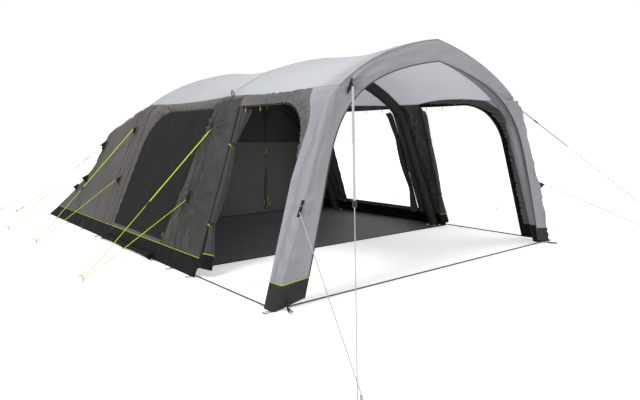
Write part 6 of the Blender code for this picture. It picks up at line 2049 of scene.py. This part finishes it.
@dataclass(frozen=True)
class Guyline:
    """One guyline: a taut cord from its high tab round its peg to its low tab, its webbing, peg and tabs."""

    name: str
    peg_turn_radius: float = 0.014
    peg_turn_height: float = 0.020
    peg_height: float = 0.055
    peg_hook: float = 0.035
    peg_radius: float = 0.005
    strap_width: float = 0.018
    ring_gap: float = 0.002
    ring_radius: float = 0.010
    tab_half_width: float = 0.053

    @property
    def slot(self) -> Slot:
        """Colour slot of the line."""
        return LINE_SLOTS.get(self.name, Slot.LIME)

    @property
    def ends(self) -> tuple[Points, Points]:
        """The high and the low tab."""
        high, _, low = GUYLINES[self.name][:3]
        return np.asarray(high), np.asarray(low)

    def peg_frame(self) -> tuple[Points, Points]:
        """Where the line turns round its peg.

        Returns:
            The centre of the turn, and the level direction from it towards the tent.
        """
        high, low = self.ends
        peg = GUYLINES[self.name][1]
        centre = np.array([peg[0], peg[1], self.peg_turn_height])
        return centre, unit([(high[0] + low[0]) / 2 - peg[0], (high[1] + low[1]) / 2 - peg[1], 0.0])

    def peg_turn(self) -> Points:
        """The line's half circle round its peg.

        Returns:
            Points from the high side to the low side.
        """
        centre, back = self.peg_frame()
        side = np.array([-back[1], back[0], 0.0])
        turn = np.linspace(0, math.pi, 9)[:, None]
        return centre + self.peg_turn_radius * (side * np.cos(turn) - back * np.sin(turn))

    def axes(self) -> tuple[Points, Points, Points, Points]:
        """The frame in which the webbing and the runner lie.

        Returns:
            The end of the webbing, and the line's own direction, level side and upper side.
        """
        high, turn = self.ends[0], self.peg_turn()[0]
        way = unit(turn - high)
        flat = unit(np.cross(way, UP))
        return high + (turn - high) * GUYLINES[self.name][3], way, flat, np.cross(way, flat)

    def cord(self) -> tuple[Piece, Points]:
        """Build the cord as a curve.

        Returns:
            The object and its route.
        """
        (high, low), turn = self.ends, self.peg_turn()
        start = high + unit(turn[0] - high) * self.ring_gap
        end = low + unit(turn[-1] - low) * self.ring_gap
        down = start + (turn[0] - start) * np.linspace(0, 1, 14)[:, None]
        up = turn[-1] + (end - turn[-1]) * np.linspace(0, 1, 12)[:, None]
        route = np.concatenate([down[:-1], turn, up[1:]])
        curve = bpy.data.curves.new(f"guyline_{self.name}", "CURVE")
        curve.dimensions = "3D"
        curve.bevel_depth = LINE_DIAMETER / 2
        curve.bevel_resolution = 3
        curve.use_fill_caps = True
        spline = curve.splines.new("POLY")
        spline.points.add(len(route) - 1)
        spline.points.foreach_set("co", np.concatenate([route, np.ones((len(route), 1))], 1).ravel())
        curve.materials.append(SLOT_FINISHES[self.slot].make())
        return dress(bpy.data.objects.new(curve.name, curve), (f"guyline_{self.name}",)), route

    def webbing(self) -> Piece:
        """The flat webbing sewn over the upper part of the line, with folded ends.

        Returns:
            The new object.
        """
        high = self.ends[0]
        bend, way, flat, up = self.axes()
        length = float(np.linalg.norm(bend - high))
        place = np.concatenate([[0.0, 0.003], np.linspace(0.012, length - 0.012, 24), [length - 0.003, length]])
        grow = np.where((place == 0) | (place == length), 0.8, 1.0)[:, None, None]
        turn = np.linspace(0, 2 * math.pi, 14, endpoint=False)[None, :, None]
        wide = np.sign(np.cos(turn)) * np.abs(np.cos(turn)) ** 0.55 * self.strap_width / 2 * grow
        thick = np.sign(np.sin(turn)) * np.abs(np.sin(turn)) ** 0.8 * 0.0034 * grow
        builder = Builder()
        builder.rings(high + way * place[:, None, None] + wide * flat + thick * up)
        return builder.build(f"webbing_{self.name}", (SLOT_FINISHES[self.slot],), angle=60)

    def peg(self) -> Piece:
        """The bent head of a steel peg, as far as it stands out of the ground.

        Returns:
            The new object.
        """
        centre, back = self.peg_frame()
        foot = centre - back * (self.peg_turn_radius - LINE_DIAMETER / 2 - self.peg_radius + 0.0015)
        foot[2] = 0.0
        turn, soft = np.linspace(0, math.pi / 2, 7)[:, None], 0.012
        bend = foot + UP * (self.peg_height - soft) - back * soft + soft * (np.cos(turn) * back + np.sin(turn) * UP)
        tip = foot + UP * self.peg_height - back * self.peg_hook
        builder = Builder()
        builder.tube(np.concatenate([[foot, foot + UP * 0.02], bend, [tip, tip - UP * 0.010 - back * 0.004]]),
                     self.peg_radius * 0.92, 12)
        return builder.build(f"peg_{self.name}", (STEEL,), angle=60)

    def tabs(self) -> None:
        """The triangular tabs that tie the line to its panels, with a stitched patch and a ring at each tip."""
        builder = Builder()
        turn, half = self.peg_turn(), 0.0014
        for tip, seat, end in zip(self.ends, GUYLINES[self.name][4:], (turn[0], turn[-1])):
            root = nearest(seat, tip + np.array([0.0, 0.0, 0.02]))
            up = unit((-math.copysign(WALL_LEAN, tip[0]), 0.0, 1.0))
            out, pull = unit(tip - root), unit(end - tip)
            across = unit(np.cross(out, up))
            mix = np.linspace(0, 1, 9)[:, None, None]
            reach = ((self.tab_half_width - 0.006) * (1 - mix) ** 0.8 + 0.006) * np.linspace(-1, 1, 9)[:, None]
            grid = root - out * 0.003 + (tip - root + out * 0.003) * mix + up * reach + across * half
            builder.sheet(grid, grid - 2 * across * half)
            builder.tube(root + up * np.array([[0.065], [0.02], [-0.02], [-0.065]]) + out * 0.002, 0.011, 8, 0,
                         0.14, out)
            round_it = np.linspace(0, 2 * math.pi, 15)[:, None]
            ring = np.cos(round_it) * pull + np.sin(round_it) * unit(np.cross(pull, up))
            builder.tube(tip - pull * 0.004 + self.ring_radius * ring, 0.0022, 8, 1)
        builder.build(f"tabs_{self.name}", (WEB, PLASTIC), angle=60)

    def make(self) -> None:
        cord, route = self.cord()
        pieces = [self.peg()]
        if GUYLINES[self.name][3] > 0:
            pieces.append(self.webbing())


RUNNER_LINES = ("front_left", "front_right", "middle_left", "sleeping_left")


@dataclass(frozen=True)
class Runner:
    """The runner that tightens a line: a rounded plate with a waist and three raised bars."""

    line: Guyline
    half_width: float = 0.0158
    half_height: float = 0.0056

    def make(self) -> None:
        """Build the runner on its own body."""
        centre, way, flat, up = self.line.axes()
        turn = np.linspace(0, 2 * math.pi, 26, endpoint=False)[None, :, None]
        place, wide, thick = (np.array(row)[:, None, None] for row in zip(
            (-0.0275, 0.70, 0.70), (-0.0262, 0.92, 0.9), (-0.022, 1.0, 1.0), (-0.008, 0.93, 1.0), (0.0, 0.88, 1.0),
            (0.008, 0.93, 1.0), (0.022, 1.0, 1.0), (0.0262, 0.92, 0.9), (0.0275, 0.70, 0.70)))
        x = np.sign(np.cos(turn)) * np.abs(np.cos(turn)) ** 0.5 * self.half_width * wide
        z = np.sign(np.sin(turn)) * np.abs(np.sin(turn)) ** 0.5 * self.half_height * thick
        builder = Builder()
        builder.rings(centre + way * place + x * flat + z * up)
        for place in (-0.016, 0.0, 0.016):
            bar = centre + way * place + up * 0.0052
            builder.tube(bar + flat * np.array([[-0.0125], [0.0], [0.0125]]), 0.0016, 8)
        name = f"runner_{self.line.name}"
        builder.build(f"{name}_plate", (PLASTIC,), (name,), name, 40)


@dataclass(frozen=True)
class Slider:
    """One zip slider: two plates, a bridge, its pull and a lime cord loop."""

    name: str
    centre: Triple
    run: Triple
    out: Triple
    half_width: float = 0.0098
    loop_length: float = 0.042

    def make(self) -> None:
        """Build the slider on its own body."""
        centre, run, out = np.asarray(self.centre), unit(self.run), unit(self.out)
        across = np.cross(run, out)
        builder = Builder()
        place = np.array([0.0, 0.003, 0.012, 0.026, 0.033, 0.036])[:, None, None]
        half = self.half_width * np.array([0.62, 0.86, 1.0, 0.94, 0.80, 0.60])[:, None, None]
        corner = np.array([(-1.0, 0.0056), (1.0, 0.0056), (0.94, 0.0080), (-0.94, 0.0080)])[None, :, :, None]
        builder.rings(centre - run * (0.018 - place) + across * half * corner[:, :, 0] + out * corner[:, :, 1])
        for side in (-1, 1):
            builder.block(centre + across * side * 0.0070 + out * 0.0030, run, across, (0.034, 0.0050, 0.0048),
                          bevel=0.3)
        turn = np.linspace(0, math.pi, 9)[:, None]
        builder.tube(centre + out * 0.0080 + run * 0.010 * np.cos(turn) + out * 0.0020 * np.sin(turn), 0.0012, 8)
        top = centre - run * 0.010 + out * 0.0085
        builder.tube(top - run * np.array([[0.0], [0.012], [0.024]]), np.array([0.0036, 0.0046, 0.0036]), 12, 0,
                     0.26, out)
        turn = np.linspace(0, 1, 16)[:, None]
        wide = 0.0042 * np.sin(turn * math.pi) ** 0.5
        start = top - run * 0.022
        for sign in (1, -1):
            builder.tube(start - run * self.loop_length * turn + across * wide * sign, 0.0012, 8, 1)
        builder.block(start - run * 0.040, run, across, (0.009, 0.0070, 0.0028), 1, 0.35)
        builder.build(f"{self.name}_zip", (PLASTIC, LIME_TRIM), (self.name,), self.name, 40)


def sliders() -> list[Slider]:
    """The sliders of the two bedroom doors and of the mesh door.

    Returns:
        The three sliders.
    """
    low = ZIP_FOOT + 0.060 + 0.036
    pair = [Slider(f"bedroom_slider_{side.word}", (side * ZIP_HALF_SPREAD, BEDROOM_Y, low), (0.0, 0.0, 1.0),
                   (0.0, -1.0, 0.0)) for side in Side]
    foot, top = mesh_zip_points(np.array([DOOR_FOOT + 0.096, MESH_ZIP_TOP]))
    return [*pair, Slider("mesh_slider", tuple(foot), tuple(top - foot), tuple(Side.LEFT.normal))]


@dataclass(frozen=True)
class GroundStraps:
    """The taut webbing straps that keep the feet of the front and middle arches apart."""

    height: float = 0.020
    tall: float = 0.014
    front_half: float = 1.83

    def make(self) -> None:
        wall, low = wall_x(self.height) - CLOTH / 2, self.height + self.tall / 2
        front = from_front(0.0) - SEAM_GAP - 0.0015
        runs = {"front": ((-self.front_half, front), (self.front_half, front))}
        for side, near in ((Side.LEFT, leg_rear_y(low)), (Side.RIGHT, right_band_y(low))):
            far = from_front(CUTS[side].front_foot) - SEAM_GAP
            runs[side.word] = ((side * wall, float(near) + SEAM_GAP), (side * wall, far))
        for word, ends in runs.items():
            first, second = (np.array([*end, self.height]) for end in ends)
            path = first + (second - first) * np.linspace(0, 1, 40)[:, None]
            builder = Builder()
            builder.tube(path, self.tall / 2, 10, flat=0.16, level=np.cross(unit(second - first), UP))
            piece = builder.build(f"ground_strap_{word}", (DARK,), (f"ground_strap_{word}",), angle=60)


@dataclass(frozen=True)
class FootDetails:
    """Peg loops and webbing tails at the feet, and the small lime hooks of the openings."""

    loop_width: float = 0.030
    loop_radius: float = 0.0055
    side_loops: tuple[tuple[float, float], ...] = (
        (0.02, 0.07), (1.24, 0.06), (1.62, 0.07), (2.05, 0.05), (2.8, 0.05), (3.50, 0.06), (3.70, 0.07), (4.35, 0.05),
        (5.0, 0.06), (5.6, 0.05), (6.10, 0.06))
    hook_radius: float = 0.0060

    def loop(self, builder: Builder, root: Points, way: Points, long: float) -> None:
        """A flat webbing loop that leaves a place along a direction and comes back.

        Args:
            builder: Where it is added.
            root: The place.
            way: The direction.
            long: Length of the loop.
        """
        turn = np.linspace(0, 1, 22)
        bow = np.sin(turn * math.pi)
        wide = bow ** 0.55 * self.loop_width / 2 * np.sign(turn - 0.5)
        rise = 0.004 + 0.006 * bow * (turn - 0.5)
        path = root + way * (bow * long)[:, None] + unit(np.cross(way, UP)) * wide[:, None] + UP * rise[:, None]
        builder.tube(path, self.loop_radius, 8, 0, 0.26, UP)

    def webbing(self) -> None:
        """The loops round the foot, the tails of the front feet and the hooks over the middle arch."""
        builder = Builder()
        for side in Side:
            out = np.array([float(side), 0.0, 0.0])
            for setback, long in self.side_loops:
                root = np.array([side * (FOOT_HALF_WIDTH - 0.001), from_front(setback), 0.004])
                self.loop(builder, root, out, long)
            root = np.array([side * 1.84, from_front(0.0) - 0.004, 0.006])
            self.loop(builder, root, unit((side * 0.4, -1.0, 0.0)), 0.09)
            path = root + np.array([(0, 0, 0.13), (0, -0.004, 0.05), (0, 0, 0.006), (side * 0.03, -0.07, 0.003),
                                    (side * 0.05, -0.12, 0.003)])
            builder.tube(path, 0.008, 8, 0, 0.2, (0.0, -1.0, 0.2))
            root = CANOPY.points(0.97, side * (1 - EAVE_SHARE)) + np.array([side * 0.002, 0.0, 0.002])
            path = root + np.array([(0, 0, -0.010), (side * 0.006, 0, 0.024), (side * 0.016, 0.010, 0.050),
                                    (side * 0.020, 0.026, 0.040), (side * 0.010, 0.034, 0.012), (0, 0.036, -0.006)])
            builder.tube(path, self.hook_radius, 8, 0, 0.7, (side, 0.0, 0.2))
        for x in (-1.4, -0.5, 0.5, 1.4):
            self.loop(builder, np.array([x, from_front(LENGTH) - 0.001, 0.004]), np.array([0.0, 1.0, 0.0]), 0.05)
        builder.build("peg_loops", (WEB,), angle=60)

    def hooks(self) -> None:
        """Lime hooks and tags at the corners of the openings."""
        builder = Builder()
        drop = np.array([[0.004], [-0.016], [-0.040]])
        for side in Side:
            cut, out = CUTS[side], side.normal
            front, rear = float(cut.pillar_front(cut.top)), float(cut.pillar_rear(cut.top))
            spots = [(CANOPY, front - 0.10, cut.top), (CANOPY, front - 0.34, cut.top), (LIVING, rear + 0.12, cut.top),
                     (LIVING, rear + 0.42, cut.top), (LIVING, float(cut.pillar_rear(0.24)) + 0.02, 0.25)]
            for bay, y, high in spots:
                spot = bay.wall(side, np.array([y]), np.array([high]), 0.008)[0]
                builder.tube(spot + UP * drop, np.array([0.0025, 0.0038, 0.0045]), 8, 0, 0.6, (side, 0, 0))
            tag = CANOPY.wall(side, cut.pillar_front(np.full(3, 0.33)) + 0.03, 0.33 + drop[:, 0], CLOTH + 0.003)
            builder.tube(tag, 0.006, 8, 0, 0.4, out)
        builder.build("door_hooks", (LIME_TRIM,), angle=60)

    def make(self) -> None:
        """Build the loops and the hooks."""
        self.webbing()
        self.hooks()


@dataclass(frozen=True)
class Lamp:
    """One soft square lamp."""

    name: str
    place: Triple
    aim: Triple
    size: float
    power: float

    def make(self) -> None:
        """Hang the lamp and turn it to its aim."""
        lamp = bpy.data.lights.new(self.name, "AREA")
        lamp.shape = "SQUARE"
        lamp.size = self.size
        lamp.energy = self.power
        holder = bpy.data.objects.new(self.name, lamp)
        holder.location = self.place
        holder.rotation_euler = (Vector(self.aim) - Vector(self.place)).to_track_quat("-Z", "Y").to_euler()
        bpy.context.scene.collection.objects.link(holder)


@dataclass(frozen=True)
class Studio:
    """The camera at the photograph's viewing angle, the white surroundings, the pale floor and the lamps."""

    place: Triple = (-3.9986, -6.0287, 1.2245)
    lens: float = 29.76
    turn: float = 39.9
    dip: float = -6.9
    sky: float = 0.55
    floor_tone: float = 0.86
    near_glow: float = 0.42
    glow_start: float = 4.0
    glow_end: float = 11.0
    lamps: tuple[Lamp, ...] = (Lamp("key", (-7.5, -3.0, 8.5), (0.0, 0.0, 0.6), 2.6, 560.0),
                               Lamp("fill", (6.5, -6.0, 5.0), (0.0, 0.0, 0.8), 5.0, 150.0),
                               Lamp("front", (-2.0, -10.0, 2.0), (0.4, 0.5, 0.7), 4.0, 150.0),
                               Lamp("back", (2.0, 8.5, 6.5), (0.0, 0.0, 1.0), 6.0, 200.0))

    def camera(self) -> None:
        """Put up the camera."""
        data = bpy.data.cameras.new("camera")
        data.lens = self.lens
        data.sensor_width = 36.0
        data.clip_end = 200.0
        camera = bpy.data.objects.new("camera", data)
        camera.location = self.place
        turn, dip = math.radians(self.turn), math.radians(self.dip)
        look = Vector((math.sin(turn) * math.cos(dip), math.cos(turn) * math.cos(dip), math.sin(dip)))
        camera.rotation_euler = look.to_track_quat("-Z", "Y").to_euler()
        bpy.context.scene.collection.objects.link(camera)
        bpy.context.scene.camera = camera

    @staticmethod
    def seen(nodes: Nodes) -> Socket:
        """Tell the rays that a viewer sees from the rays that light the tent.

        Args:
            nodes: The material's nodes.

        Returns:
            One for camera, glossy and transmission rays.
        """
        rays = nodes.add("ShaderNodeLightPath").outputs
        first = nodes.maths("MAXIMUM", rays["Is Camera Ray"], rays["Is Glossy Ray"])
        return nodes.maths("MAXIMUM", first, rays["Is Transmission Ray"])

    def ground(self) -> bpy.types.Material:
        """The floor's finish: pale, keeps the shadow, and glows up to white away from the tent.

        Returns:
            The material.
        """
        material = bpy.data.materials.new("studio_floor")
        material.use_nodes = True
        nodes = Nodes(material)
        shader = material.node_tree.nodes["Principled BSDF"]
        shader.inputs["Base Color"].default_value = (self.floor_tone,) * 3 + (1.0,)
        shader.inputs["Roughness"].default_value = 0.9
        shader.inputs["Emission Color"].default_value = (1.0, 1.0, 1.0, 1.0)
        away = nodes.add("ShaderNodeVectorMath")
        away.operation = "LENGTH"
        nodes.join(nodes.place.outputs["Object"], away.inputs[0])
        fade = nodes.add("ShaderNodeMapRange", From_Min=self.glow_start, From_Max=self.glow_end,
                         To_Min=self.near_glow, To_Max=1.0)
        nodes.join(away.outputs["Value"], fade.inputs["Value"])
        glow = nodes.maths("MULTIPLY", self.seen(nodes), fade.outputs["Result"])
        nodes.join(glow, shader.inputs["Emission Strength"])
        return material

    def stage(self) -> None:
        """Lay the floor, put up the white surroundings and hang the lamps."""
        bpy.ops.mesh.primitive_plane_add(size=120, location=(0, 0, -0.0005))
        floor = bpy.context.object
        floor.name = "studio_ground"
        floor.data.materials.append(self.ground())
        world = bpy.data.worlds.new("studio")
        bpy.context.scene.world = world
        world.use_nodes = True
        world.node_tree.nodes.clear()
        nodes = Nodes(world)
        soft = nodes.add("ShaderNodeBackground", Color=(0.93, 0.96, 1.0, 1.0), Strength=self.sky)
        white = nodes.add("ShaderNodeBackground", Color=(1.0, 1.0, 1.0, 1.0), Strength=1.0)
        mix, out = nodes.add("ShaderNodeMixShader"), nodes.add("ShaderNodeOutputWorld")
        nodes.join(self.seen(nodes), mix.inputs["Fac"])
        nodes.join(soft.outputs["Background"], mix.inputs[1])
        nodes.join(white.outputs["Background"], mix.inputs[2])
        nodes.join(mix.outputs["Shader"], out.inputs["Surface"])
        for lamp in self.lamps:
            lamp.make()


def show_slots(frame: dict) -> None:
    """Give every CAD node that still shows its slot's finish.

    Args:
        frame: The loaded frame.
    """
    finishes = {slot.value: finish for slot, finish in SLOT_FINISHES.items()}
    slots = {part["node"]: part["material_slot"] for part in frame["record"]["subparts"]}
    for name, node in frame["nodes"].items():
        node.data.materials.clear()
        node.data.materials.append(finishes[slots[name]].make())


def main() -> None:
    """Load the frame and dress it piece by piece."""
    logging.basicConfig(level=logging.INFO, format="%(message)s")
    bpy.context.scene.view_settings.view_transform = "Standard"
    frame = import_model()
    studio = Studio()
    studio.camera()
    show_slots(frame)
    lines = [Guyline(name) for name in GUYLINES]
    runners = [Runner(line) for line in lines if line.name in RUNNER_LINES]
    for part in (*lines, GroundStraps(), Roofs(), FrontFrame(), SideWalls(), RearWall(), MeshDoor(), *AIR_TUBES,
                 Groundsheet(), Bedroom(), BaseRoll(), *sliders(), *runners, FootDetails(), *DOOR_ROLLS):
        log.info("making the %s", type(part).__name__)
        part.make()
    Roofs().seams()
    for line in lines:
        line.tabs()
    studio.stage()


if __name__ == "__main__":
    main()
